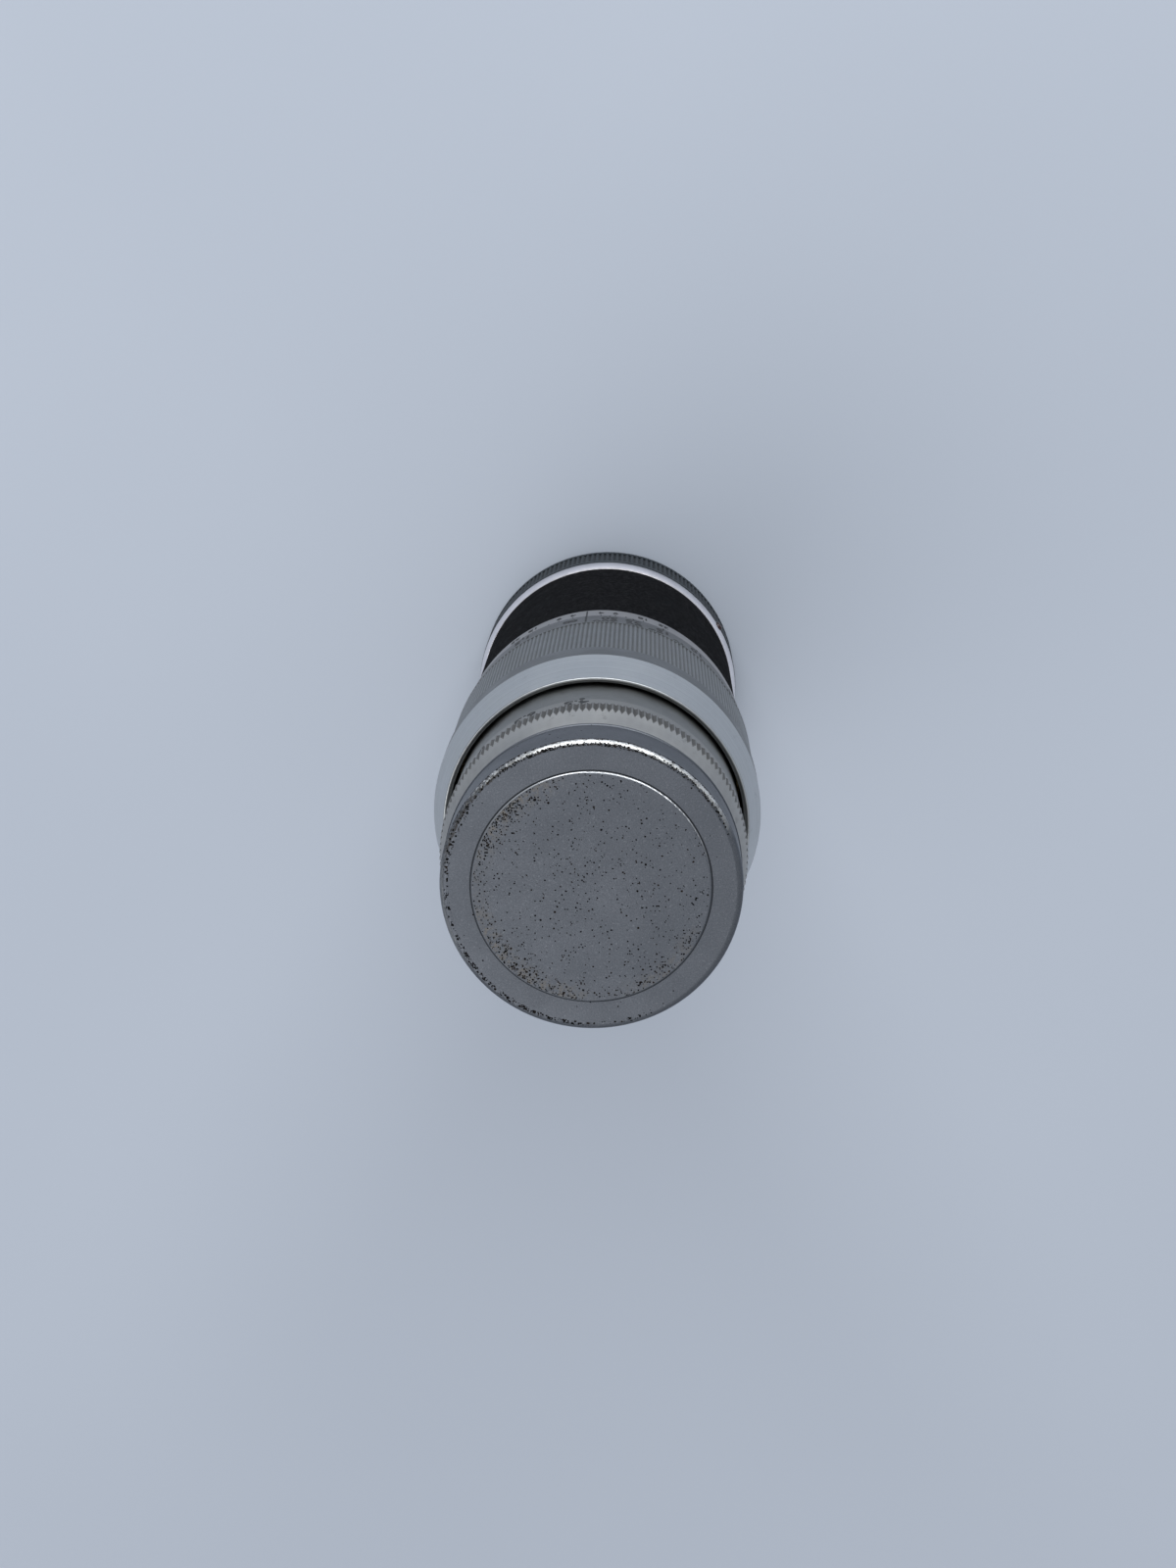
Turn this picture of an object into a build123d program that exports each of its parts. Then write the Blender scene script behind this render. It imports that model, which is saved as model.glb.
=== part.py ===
from build123d import *
import os
from math import atan2, cos, degrees, pi, radians, sin

# Long-focus rangefinder lens, standing on its rear cap.
# The optical axis is Z, up is towards the front, and the base of the rear cap lies at Z = 0.
# The photographed side faces +Y. Clock angles run clockwise from +Y, seen from the front.

os.makedirs("parts", exist_ok=True)

# Clearances
seat_gap = 0.05          # between pieces screwed or pressed together
running_gap = 0.08       # radial, between pieces that turn or slide on each other
end_gap = 0.15           # along the axis, between rings that turn past each other
cut_margin = 1.0         # how far a cut runs past the face where it ends

# Outside lengths along the axis, from the base to the front
rear_cap_height = 12.55
flange_thickness = 3.4
covering_length = 44.0
scale_lip_length = 2.0
depth_scale_length = 6.2
distance_scale_length = 7.1
knurl_length = 22.4
land_length = 6.1
bevel_length = 7.5
exposed_barrel_length = 9.0
numeral_band_length = 3.1
coarse_knurl_length = 3.9
aperture_cone_length = 4.4
bezel_length = 8.6
front_cap_skirt_gap = 0.55

# Rear barrel: its bore sets the size of the whole mount, and walls and steps lead outward from it
barrel_bore_radius = 22.2
barrel_wall = 2.1
barrel_lip_length = 4.2
barrel_lip_depth = 0.6
skirt_wall = 1.4
skirt_overlap = 2.3
covering_thickness = 0.5
scale_lip_step = 0.2
depth_scale_step = 0.4
distance_scale_step = 0.25

# Grip and front barrel, each stepped from the ring behind it
knurl_step = 0.4
land_step = 0.25
bevel_depth = 2.2
collar_lip = 0.7
collar_opening = 0.55
collar_edge_radius = 0.2
numeral_band_step = 0.1
coarse_knurl_step = 0.3
aperture_cone_depth = 1.85

# Focusing: a helicoid moves the head forward as the grip turns
focus_lead = 14.4
focus_throw = 335.0

# Bayonet
spigot_wall = 2.9
spigot_length = 4.0
spigot_gap = 2.6
neck_wall = 1.6
neck_length = 5.0
lug_height = 1.6
lug_thickness = 1.8
lug_sweep = 40.0
lug_count = 4
flange_overhang = 1.35
flange_front_step = 0.55
flange_round_start = 1.6
flange_screw_radius = 0.8
flange_screw_head_radius = 1.45
flange_screw_length = 6.4
flange_screw_count = 4
screw_slot_width = 0.35
screw_slot_depth = 0.3
bead_radius = 0.9
bead_height = 0.5
bead_depth = 1.2
bead_round = 0.45
bead_clock = 60.0
bead_edge = 0.3

# Rear cap
rear_cap_step = 0.1
rear_cap_floor = 2.0
rear_cap_clearance = 0.5
rear_cap_lug_clearance = 0.2
rear_cap_lug_thickness = 1.8
rear_cap_rib_count = 160
rear_cap_rib_depth = 0.3
rear_cap_edge_radius = 1.2
rear_cap_plain_length = 1.4

# Rangefinder cam in the bayonet's throat
cam_reach = 7.5
cam_wall = 1.12
cam_length = 16.4

# Key that keeps the head from turning
key_width = 4.0
key_length = 6.0
key_gap = 1.9
key_clock = 270.0
key_inset = 0.4
key_screw_radius = 0.8
key_screw_floor = 1.0
key_screw_head_radius = 1.4
key_screw_head_length = 0.7
key_screw_spacing = 3.2

# Sleeves inside the barrel
skirt_clearance = 0.1
sleeve_wall = 1.54
sleeve_flange_thickness = 3.0
head_tube_wall = 1.2
thrust_collar_length = 2.3
thrust_collar_step = 0.22
baffle_depth = 3.8
baffle_thickness = 1.2
baffle_height = 36.0

# Distance ring, fixed on a spigot of the grip
grip_spigot_length = 3.4
grip_spigot_wall = 0.9
split_chamfer = 0.2
set_screw_radius = 0.7
set_screw_count = 3
set_screw_clock = 95.0

# Knurls
fine_knurl_count = 212
fine_knurl_depth = 0.3
fine_knurl_margin = 0.5
coarse_knurl_count = 148
coarse_knurl_depth = 0.4
coarse_knurl_crest_gap = 0.05

# Optic barrel and bezel
optic_chamber_wall = 1.3
optic_neck_step = 0.4
optic_neck_length = 2.7
optic_shelf_length = 1.6
optic_shelf_step = 0.4
optic_rear_wall = 2.9
optic_rear_bore_length = 10.4
bezel_wall = 0.8
bezel_chamfer = 0.3
filter_thread_length = 4.5
filter_thread_relief = 0.2

# Iris
iris_blade_count = 12
iris_pivot_inset = 1.3
iris_root_width = 0.7
iris_blade_width = 4.0
iris_blade_sweep = 112.0
iris_blade_thickness = 0.12
iris_blade_pitch = 0.16
iris_stud_radius = 0.5
iris_root_half_width = 0.9
iris_base_thickness = 1.0
iris_crank_length = 7.0
iris_crank_thickness = 0.4
iris_crank_width = 1.4
iris_crank_lean = 7.9
iris_pin_radius = 0.3
iris_slot_gap = 0.06
iris_blade_turn = 35.8
iris_rotor_thickness = 1.8
iris_rotor_step = 0.1
iris_cover_thickness = 0.9
aperture_turn = 102.0
drive_screw_clock = 180.0
drive_screw_land = 26.0
drive_slot_margin = 4.0
drive_screw_radius = 0.5
drive_screw_head_radius = 1.0
drive_screw_head_length = 0.8
drive_screw_depth = 1.3

# Glass and cells
front_cell_wall = 2.2
front_lens_edge = 2.8
front_lens_sag = 2.46
front_cell_lip = 1.0
name_ring_lip = 0.7
name_ring_thickness = 0.7
name_ring_slope = 0.3
middle_cell_wall = 5.2
middle_cell_length = 5.5
middle_cell_lip = 0.7
middle_pair_edge = 4.1
middle_front_sag = 2.0
middle_joint_sag = 0.8
middle_rear_edge = 0.6
cement_gap = 0.02
rear_cell_wall = 2.6
rear_lens_edge = 1.9
rear_lens_front_sag = 1.2
rear_lens_rear_sag = 1.6
rear_cell_length = 8.3
rear_cell_lip = 0.8
rear_cell_mouth = 2.9
lens_ring_wall = 1.0
lens_ring_length = 1.2
lens_ring_lift = 0.25

# Front cap
cap_wall = 0.6
cap_top = 0.8
cap_rim_gap = 0.2
cap_corner_radius = 1.0
cap_lip_height = 0.15
cap_lip_length = 0.45
cap_rim_width = 4.54
cap_disc_height = 0.4
cap_disc_edge = 0.3
liner_thickness = 0.5
liner_margin = 0.6

# Radii of the rear barrel and of the rings on it
barrel_radius = barrel_bore_radius + barrel_wall
barrel_lip_bore_radius = barrel_bore_radius - barrel_lip_depth
skirt_radius = barrel_bore_radius + skirt_wall
covering_radius = barrel_radius + covering_thickness
scale_lip_radius = covering_radius + scale_lip_step
depth_scale_radius = scale_lip_radius + depth_scale_step
distance_scale_radius = depth_scale_radius + distance_scale_step

# Radii of the grip, the front barrel and the aperture ring
sleeve_seat_radius = skirt_radius + skirt_clearance
grip_spigot_radius = sleeve_seat_radius + grip_spigot_wall
knurl_radius = distance_scale_radius + knurl_step
land_radius = knurl_radius + land_step
collar_crest_radius = land_radius - bevel_depth
collar_bore_radius = collar_crest_radius - collar_lip
front_barrel_radius = collar_bore_radius - collar_opening
numeral_band_radius = front_barrel_radius + numeral_band_step
coarse_knurl_radius = numeral_band_radius + coarse_knurl_step
aperture_cone_radius = coarse_knurl_radius - aperture_cone_depth

# Radii of the bayonet, its cap and the cam inside it
throat_radius = barrel_lip_bore_radius - spigot_wall
neck_radius = throat_radius + neck_wall
lug_radius = neck_radius + lug_height
flange_radius = barrel_radius + flange_overhang
flange_front_radius = barrel_radius + flange_front_step
flange_screw_circle = (barrel_lip_bore_radius + barrel_radius) / 2
rear_cap_radius = flange_radius + rear_cap_step
rear_cap_bore_radius = lug_radius + rear_cap_clearance
rear_cap_lug_bore_radius = neck_radius + rear_cap_lug_clearance
cam_bore_radius = throat_radius - running_gap - cam_wall

# Radii of the sleeves, of the optic barrel and of what it holds
sleeve_radius = barrel_bore_radius - running_gap
sleeve_bore_radius = sleeve_radius - sleeve_wall
thrust_collar_radius = sleeve_radius - thrust_collar_step
head_tube_radius = sleeve_bore_radius - running_gap
head_tube_bore_radius = head_tube_radius - head_tube_wall
key_inner_radius = head_tube_bore_radius - key_inset
baffle_bore_radius = head_tube_bore_radius - baffle_depth
aperture_bore_radius = head_tube_radius + running_gap
optic_chamber_radius = head_tube_radius - optic_chamber_wall
optic_neck_radius = head_tube_radius - optic_neck_step
optic_rear_bore_radius = head_tube_radius - optic_rear_wall
filter_thread_radius = optic_chamber_radius + seat_gap
bezel_radius = optic_neck_radius + bezel_wall
cell_radius = optic_chamber_radius - seat_gap
rotor_radius = optic_chamber_radius - 2 * running_gap
iris_pivot_radius = optic_chamber_radius - iris_pivot_inset
iris_blade_outer_radius = iris_pivot_radius - iris_root_width
iris_open_radius = iris_blade_outer_radius - iris_blade_width
iris_rotor_bore_radius = iris_open_radius + iris_rotor_step
optic_shelf_bore_radius = iris_open_radius + optic_shelf_step
front_lens_radius = optic_chamber_radius - front_cell_wall
name_ring_bore_radius = front_lens_radius - name_ring_lip
middle_lens_radius = optic_chamber_radius - middle_cell_wall
rear_lens_radius = optic_rear_bore_radius - rear_cell_wall
front_cap_radius = bezel_radius + liner_thickness + cap_wall
cap_disc_radius = front_cap_radius - cap_rim_width

# Heights of the joints between pieces
flange_z = rear_cap_height + seat_gap
barrel_z = flange_z + flange_thickness
covering_top_z = barrel_z + covering_length
depth_scale_z = covering_top_z + scale_lip_length
depth_scale_top_z = depth_scale_z + depth_scale_length
distance_z = depth_scale_top_z + end_gap
grip_z = distance_z + distance_scale_length
knurl_top_z = grip_z + knurl_length
land_top_z = knurl_top_z + land_length
collar_z = land_top_z + bevel_length
barrel_front_z = collar_z + exposed_barrel_length
aperture_z = barrel_front_z + end_gap
numeral_top_z = aperture_z + numeral_band_length
coarse_knurl_top_z = numeral_top_z + coarse_knurl_length
aperture_top_z = coarse_knurl_top_z + aperture_cone_length
bezel_z = aperture_top_z + end_gap
bezel_top_z = bezel_z + bezel_length
cap_z = aperture_top_z + front_cap_skirt_gap
cap_inner_z = bezel_top_z + cap_rim_gap
cap_top_z = cap_inner_z + cap_top

# Heights of the focusing sleeves
focus_travel = focus_lead * focus_throw / 360
skirt_top_z = distance_z + focus_travel + skirt_overlap
sleeve_flange_z = skirt_top_z + 2 * end_gap
sleeve_flange_top_z = sleeve_flange_z + sleeve_flange_thickness
head_tube_rear_z = barrel_z + spigot_length + spigot_gap
key_z = head_tube_rear_z + focus_travel
thrust_collar_z = key_z + key_length + key_gap
sleeve_rear_z = thrust_collar_z + thrust_collar_length + end_gap
lug_z = flange_z - neck_length
bead_z = flange_z + bead_radius + bead_edge

# Heights inside the optic barrel, set by the drive screw in the numeral band
drive_screw_z = aperture_z + numeral_band_length / 2
rotor_z = drive_screw_z - iris_rotor_thickness / 2
rotor_top_z = rotor_z + iris_rotor_thickness
crank_z = rotor_z - seat_gap - iris_crank_thickness
blade_z = crank_z - iris_blade_count * iris_blade_pitch
chamber_z = blade_z - seat_gap - iris_base_thickness
optic_shelf_z = chamber_z - optic_shelf_length
optic_rear_z = optic_shelf_z - optic_rear_bore_length
optic_top_z = bezel_z + optic_neck_length
cover_z = rotor_top_z + 2 * seat_gap
middle_cell_z = cover_z + iris_cover_thickness + seat_gap
front_cell_z = middle_cell_z + middle_cell_length + seat_gap


def from_x(clock):
    """The same direction as an angle that runs from +X towards +Y."""
    return 90 - clock


def clock_plane(height, clock):
    """A level plane whose own Y axis points at the given clock angle."""
    return Plane.XY.offset(height).rotated((0, 0, -clock))


def radial_plane(clock, radius, height):
    """A plane that faces outward at the given clock angle, radius and height."""
    angle = radians(from_x(clock))
    outward = Vector(cos(angle), sin(angle), 0)
    along = Vector(-sin(angle), cos(angle), 0)
    return Plane(origin=outward * radius + Vector(0, 0, height), x_dir=along, z_dir=outward)


def arc_radius(sag, half_width):
    """Radius of the arc that rises by a sag over half its width."""
    return (sag**2 + half_width**2) / (2 * sag)


def turned(points):
    """Revolve an outline of (radius, height) points about the optical axis, inside a part."""
    with BuildSketch(Plane.XZ) as profile:
        with BuildLine():
            Polyline(*points, close=True)
        make_face()
    revolve(profile.sketch, axis=Axis.Z)


def ring_sector(inner, outer, start, sweep):
    """A piece of a flat ring, inside a sketch."""
    with BuildLine() as border:
        long_arc = CenterArc((0, 0), outer, start, sweep)
        short_arc = CenterArc((0, 0), inner, start, sweep)
        Line(long_arc @ 0, short_arc @ 0)
        Line(long_arc @ 1, short_arc @ 1)
    make_face(border.edges())


def v_grooves(count, crest, depth, low, high):
    """Cut straight V grooves round the axis between two heights, inside a part."""
    step = 2 * pi / count
    points = []
    for i in range(count):
        points.append((crest * cos(i * step), crest * sin(i * step)))
        points.append(((crest - depth) * cos((i + 0.5) * step), (crest - depth) * sin((i + 0.5) * step)))
    with BuildSketch(Plane.XY.offset(low)) as grooves:
        Circle(crest + depth)
        with BuildLine():
            Polyline(*points, close=True)
        make_face(mode=Mode.SUBTRACT)
    extrude(grooves.sketch, amount=high - low, mode=Mode.SUBTRACT)


# Rear barrel: carries the covering, the scale ring and the fixed half of the helicoid
with BuildPart() as rear_barrel:
    turned(
        [
            (barrel_lip_bore_radius, barrel_z),
            (barrel_radius, barrel_z),
            (barrel_radius, depth_scale_top_z),
            (skirt_radius, depth_scale_top_z),
            (skirt_radius, skirt_top_z),
            (barrel_bore_radius, skirt_top_z),
            (barrel_bore_radius, barrel_z + barrel_lip_length),
            (barrel_lip_bore_radius, barrel_z + barrel_lip_length),
        ]
    )
    with BuildSketch(Plane.XY.offset(barrel_z)):
        with PolarLocations(flange_screw_circle, flange_screw_count, 45):
            Circle(flange_screw_radius)
    extrude(amount=flange_screw_length - flange_thickness + seat_gap, mode=Mode.SUBTRACT)
    for side in (-1, 1):
        key_screw_z = key_z + key_length / 2 + side * key_screw_spacing / 2
        with BuildSketch(radial_plane(key_clock, barrel_bore_radius - cut_margin, key_screw_z)):
            Circle(key_screw_radius)
        extrude(amount=barrel_wall + 2 * cut_margin, mode=Mode.SUBTRACT)
        with BuildSketch(radial_plane(key_clock, barrel_radius - key_screw_head_length, key_screw_z)):
            Circle(key_screw_head_radius)
        extrude(amount=key_screw_head_length + cut_margin, mode=Mode.SUBTRACT)
rear_barrel.part.label = "rear_barrel"
export_step(rear_barrel.part, "parts/rear_barrel.step")

# Grained covering round the rear barrel
with BuildPart() as grip_covering:
    with BuildSketch(Plane.XY.offset(barrel_z + seat_gap)):
        Circle(covering_radius)
        Circle(barrel_radius + seat_gap, mode=Mode.SUBTRACT)
    extrude(amount=covering_length - 2 * seat_gap)
grip_covering.part.label = "grip_covering"
export_step(grip_covering.part, "parts/grip_covering.step")

# Fixed ring with the depth-of-field marks, and a lip against the covering's edge
set_screw_clocks = [set_screw_clock + i * 360 / set_screw_count for i in range(set_screw_count)]
depth_screw_z = covering_top_z + scale_lip_length / 2
with BuildPart() as depth_ring:
    turned(
        [
            (barrel_radius + seat_gap, covering_top_z),
            (scale_lip_radius, covering_top_z),
            (scale_lip_radius, depth_scale_z),
            (depth_scale_radius, depth_scale_z + depth_scale_radius - scale_lip_radius),
            (depth_scale_radius, depth_scale_top_z),
            (barrel_radius + seat_gap, depth_scale_top_z),
        ]
    )
    for clock in set_screw_clocks:
        with BuildSketch(radial_plane(clock, barrel_radius, depth_screw_z)):
            Circle(set_screw_radius)
        extrude(amount=scale_lip_radius - barrel_radius + cut_margin, mode=Mode.SUBTRACT)
depth_ring.part.label = "depth_ring"
export_step(depth_ring.part, "parts/depth_ring.step")

# Set screws of the depth ring
with BuildPart() as depth_ring_screws:
    for clock in set_screw_clocks:
        with BuildSketch(radial_plane(clock, barrel_radius + seat_gap, depth_screw_z)):
            Circle(set_screw_radius - seat_gap)
        extrude(amount=scale_lip_radius - barrel_radius - 3 * seat_gap)
depth_ring_screws.part.label = "depth_ring_screws"
export_step(depth_ring_screws.part, "parts/depth_ring_screws.step")

# Bayonet flange: bright rounded ring, neck with lugs, and the spigot that centres it in the barrel
with BuildPart() as bayonet_flange:
    with BuildSketch(Plane.XZ):
        with BuildLine():
            Polyline(
                (flange_front_radius, barrel_z),
                (barrel_lip_bore_radius - seat_gap, barrel_z),
                (barrel_lip_bore_radius - seat_gap, barrel_z + spigot_length),
                (throat_radius, barrel_z + spigot_length),
                (throat_radius, lug_z),
                (neck_radius, lug_z),
                (neck_radius, flange_z),
                (flange_radius, flange_z),
                (flange_radius, flange_z + flange_round_start),
            )
            TangentArc(
                (flange_radius, flange_z + flange_round_start),
                (flange_front_radius, barrel_z),
                tangent=(0, 1),
            )
        make_face()
    revolve(axis=Axis.Z)
    with BuildSketch(Plane.XY.offset(lug_z)):
        for i in range(lug_count):
            start = i * 360 / lug_count - lug_sweep / 2
            ring_sector(neck_radius - neck_wall / 2, lug_radius, start, lug_sweep)
    extrude(amount=lug_thickness)
    with BuildSketch(Plane.XY.offset(flange_z)):
        with PolarLocations(flange_screw_circle, flange_screw_count, 45):
            Circle(flange_screw_head_radius)
    extrude(amount=flange_screw_head_radius - flange_screw_radius, taper=45, mode=Mode.SUBTRACT)
    with BuildSketch(Plane.XY.offset(flange_z)):
        with PolarLocations(flange_screw_circle, flange_screw_count, 45):
            Circle(flange_screw_radius)
    extrude(amount=flange_thickness, mode=Mode.SUBTRACT)
    with BuildSketch(radial_plane(bead_clock, flange_radius - bead_depth, bead_z)):
        Circle(bead_radius + seat_gap)
    extrude(amount=bead_depth + cut_margin, mode=Mode.SUBTRACT)
bayonet_flange.part.label = "bayonet_flange"
export_step(bayonet_flange.part, "parts/bayonet_flange.step")

# Countersunk screws that hold the flange
with BuildPart() as flange_screws:
    with BuildSketch(Plane.XY.offset(flange_z + seat_gap)):
        with PolarLocations(flange_screw_circle, flange_screw_count, 45):
            Circle(flange_screw_head_radius - 2 * seat_gap)
    extrude(amount=flange_screw_head_radius - flange_screw_radius, taper=45)
    with BuildSketch(Plane.XY.offset(flange_z + seat_gap)):
        with PolarLocations(flange_screw_circle, flange_screw_count, 45):
            Circle(flange_screw_radius - seat_gap)
    extrude(amount=flange_screw_length - 2 * seat_gap)
    with BuildSketch(Plane.XY.offset(flange_z)):
        with PolarLocations(flange_screw_circle, flange_screw_count, 45):
            Rectangle(2 * flange_screw_head_radius, screw_slot_width)
    extrude(amount=screw_slot_depth, mode=Mode.SUBTRACT)
flange_screws.part.label = "flange_screws"
export_step(flange_screws.part, "parts/flange_screws.step")

# Bead on the flange's edge that shows how to offer the lens up
bead_plane = radial_plane(bead_clock, flange_radius - bead_depth + seat_gap, bead_z)
with BuildPart() as mounting_bead:
    with BuildSketch(bead_plane):
        Circle(bead_radius)
    extrude(amount=bead_depth + bead_height - seat_gap)
    fillet(mounting_bead.faces().sort_by(Axis(bead_plane.origin, bead_plane.z_dir))[-1].edges(), bead_round)
mounting_bead.part.label = "mounting_bead"
export_step(mounting_bead.part, "parts/mounting_bead.step")

# Key in the rear barrel that keeps the head from turning
with BuildPart() as guide_key:
    with BuildSketch(clock_plane(key_z, key_clock)):
        Circle(barrel_bore_radius - seat_gap)
        Circle(key_inner_radius, mode=Mode.SUBTRACT)
        with Locations((0, barrel_bore_radius / 2)):
            Rectangle(key_width, barrel_bore_radius, mode=Mode.INTERSECT)
    extrude(amount=key_length)
    for side in (-1, 1):
        key_screw_z = key_z + key_length / 2 + side * key_screw_spacing / 2
        with BuildSketch(radial_plane(key_clock, key_inner_radius + key_screw_floor, key_screw_z)):
            Circle(key_screw_radius)
        extrude(amount=barrel_bore_radius - key_inner_radius, mode=Mode.SUBTRACT)
guide_key.part.label = "guide_key"
export_step(guide_key.part, "parts/guide_key.step")

# Screws that hold the key, under the covering
with BuildPart() as guide_key_screws:
    for side in (-1, 1):
        key_screw_z = key_z + key_length / 2 + side * key_screw_spacing / 2
        with BuildSketch(radial_plane(key_clock, key_inner_radius + key_screw_floor + seat_gap, key_screw_z)):
            Circle(key_screw_radius - seat_gap)
        extrude(amount=barrel_radius - key_inner_radius - key_screw_floor - 3 * seat_gap)
        head_base = barrel_radius - key_screw_head_length + seat_gap
        with BuildSketch(radial_plane(key_clock, head_base, key_screw_z)):
            Circle(key_screw_head_radius - seat_gap)
        extrude(amount=key_screw_head_length - 2 * seat_gap)
guide_key_screws.part.label = "guide_key_screws"
export_step(guide_key_screws.part, "parts/guide_key_screws.step")

# Rangefinder cam: a sleeve that slides in the bayonet's throat
with BuildPart() as rangefinder_cam:
    with BuildSketch(Plane.XY.offset(flange_z - cam_reach)):
        Circle(throat_radius - running_gap)
        Circle(cam_bore_radius, mode=Mode.SUBTRACT)
    extrude(amount=cam_length)
rangefinder_cam.part.label = "rangefinder_cam"
export_step(rangefinder_cam.part, "parts/rangefinder_cam.step")

# Rear cap, locked behind the bayonet's lugs
with BuildPart() as rear_cap:
    turned(
        [
            (0, 0),
            (rear_cap_radius, 0),
            (rear_cap_radius, rear_cap_height),
            (rear_cap_bore_radius, rear_cap_height),
            (rear_cap_bore_radius, rear_cap_floor),
            (0, rear_cap_floor),
        ]
    )
    fillet(rear_cap.edges().filter_by(GeomType.CIRCLE).group_by(Axis.Z)[0], rear_cap_edge_radius)
    v_grooves(
        rear_cap_rib_count,
        rear_cap_radius,
        rear_cap_rib_depth,
        rear_cap_edge_radius + rear_cap_plain_length,
        rear_cap_height - rear_cap_plain_length,
    )
    with BuildSketch(Plane.XY.offset(lug_z + lug_thickness + 2 * seat_gap)):
        for i in range(lug_count):
            start = i * 360 / lug_count - lug_sweep / 2
            ring_sector(rear_cap_lug_bore_radius, rear_cap_bore_radius + cut_margin, start, lug_sweep)
    extrude(amount=rear_cap_lug_thickness)
rear_cap.part.label = "rear_cap"
export_step(rear_cap.part, "parts/rear_cap.step")

# Brass sleeve that turns in the rear barrel and carries the grip forward
with BuildPart() as helicoid_sleeve:
    turned(
        [
            (sleeve_bore_radius, sleeve_rear_z),
            (sleeve_radius, sleeve_rear_z),
            (sleeve_radius, sleeve_flange_z),
            (sleeve_seat_radius - seat_gap, sleeve_flange_z),
            (sleeve_seat_radius - seat_gap, sleeve_flange_top_z),
            (sleeve_bore_radius, sleeve_flange_top_z),
        ]
    )
helicoid_sleeve.part.label = "helicoid_sleeve"
export_step(helicoid_sleeve.part, "parts/helicoid_sleeve.step")

# Focusing grip: knurled band, plain land and bevelled collar in one piece
with BuildPart() as focus_grip:
    turned(
        [
            (sleeve_seat_radius, grip_z - grip_spigot_length),
            (grip_spigot_radius, grip_z - grip_spigot_length),
            (grip_spigot_radius, grip_z),
            (knurl_radius - split_chamfer, grip_z),
            (knurl_radius, grip_z + split_chamfer),
            (knurl_radius, knurl_top_z),
            (land_radius, knurl_top_z + land_radius - knurl_radius),
            (land_radius, land_top_z),
            (collar_crest_radius, collar_z),
            (collar_bore_radius, collar_z - collar_crest_radius + collar_bore_radius),
            (collar_bore_radius, sleeve_flange_top_z + seat_gap),
            (sleeve_seat_radius, sleeve_flange_top_z + seat_gap),
        ]
    )
    fillet(focus_grip.edges().filter_by(GeomType.CIRCLE).sort_by(Axis.Z)[-1], collar_edge_radius)
    v_grooves(
        fine_knurl_count,
        knurl_radius,
        fine_knurl_depth,
        grip_z + fine_knurl_margin,
        knurl_top_z - fine_knurl_margin,
    )
focus_grip.part.label = "focus_grip"
export_step(focus_grip.part, "parts/focus_grip.step")

# Distance ring, held on the grip's spigot
distance_screw_z = grip_z - grip_spigot_length / 2
with BuildPart() as distance_ring:
    turned(
        [
            (sleeve_seat_radius, distance_z),
            (distance_scale_radius, distance_z),
            (distance_scale_radius, grip_z - split_chamfer),
            (distance_scale_radius - split_chamfer, grip_z - seat_gap),
            (grip_spigot_radius + seat_gap, grip_z - seat_gap),
            (grip_spigot_radius + seat_gap, grip_z - grip_spigot_length - seat_gap),
            (sleeve_seat_radius, grip_z - grip_spigot_length - seat_gap),
        ]
    )
    for clock in set_screw_clocks:
        with BuildSketch(radial_plane(clock, grip_spigot_radius, distance_screw_z)):
            Circle(set_screw_radius)
        extrude(amount=distance_scale_radius - grip_spigot_radius + cut_margin, mode=Mode.SUBTRACT)
distance_ring.part.label = "distance_ring"
export_step(distance_ring.part, "parts/distance_ring.step")

# Set screws of the distance ring
with BuildPart() as distance_ring_screws:
    for clock in set_screw_clocks:
        with BuildSketch(radial_plane(clock, grip_spigot_radius + seat_gap, distance_screw_z)):
            Circle(set_screw_radius - seat_gap)
        extrude(amount=distance_scale_radius - grip_spigot_radius - 3 * seat_gap)
distance_ring_screws.part.label = "distance_ring_screws"
export_step(distance_ring_screws.part, "parts/distance_ring_screws.step")

# Head tube: slides inside the helicoid sleeve, slotted for the key
with BuildPart() as head_tube:
    with BuildSketch(Plane.XY.offset(head_tube_rear_z)):
        Circle(head_tube_radius)
        Circle(head_tube_bore_radius, mode=Mode.SUBTRACT)
    extrude(amount=optic_rear_z - seat_gap - head_tube_rear_z)
    with BuildSketch(clock_plane(head_tube_rear_z, key_clock)):
        with Locations((0, head_tube_radius)):
            Rectangle(key_width + 2 * running_gap, head_tube_radius)
    extrude(amount=key_z + key_length + end_gap - head_tube_rear_z, mode=Mode.SUBTRACT)
head_tube.part.label = "head_tube"
export_step(head_tube.part, "parts/head_tube.step")

# Light baffle inside the head tube
with BuildPart() as rear_baffle:
    with BuildSketch(Plane.XY.offset(head_tube_rear_z + baffle_height)):
        Circle(head_tube_bore_radius - seat_gap)
        Circle(baffle_bore_radius, mode=Mode.SUBTRACT)
    extrude(amount=baffle_thickness)
rear_baffle.part.label = "rear_baffle"
export_step(rear_baffle.part, "parts/rear_baffle.step")

# Collar that holds the helicoid sleeve against the front barrel
with BuildPart() as thrust_collar:
    with BuildSketch(Plane.XY.offset(thrust_collar_z)):
        Circle(thrust_collar_radius)
        Circle(head_tube_radius + seat_gap, mode=Mode.SUBTRACT)
    extrude(amount=thrust_collar_length)
thrust_collar.part.label = "thrust_collar"
export_step(thrust_collar.part, "parts/thrust_collar.step")

# Front barrel, seen between the collar and the aperture ring
with BuildPart() as front_barrel:
    with BuildSketch(Plane.XY.offset(sleeve_flange_top_z + end_gap)):
        Circle(front_barrel_radius)
        Circle(head_tube_radius + seat_gap, mode=Mode.SUBTRACT)
    extrude(amount=barrel_front_z - sleeve_flange_top_z - end_gap)
front_barrel.part.label = "front_barrel"
export_step(front_barrel.part, "parts/front_barrel.step")

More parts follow.
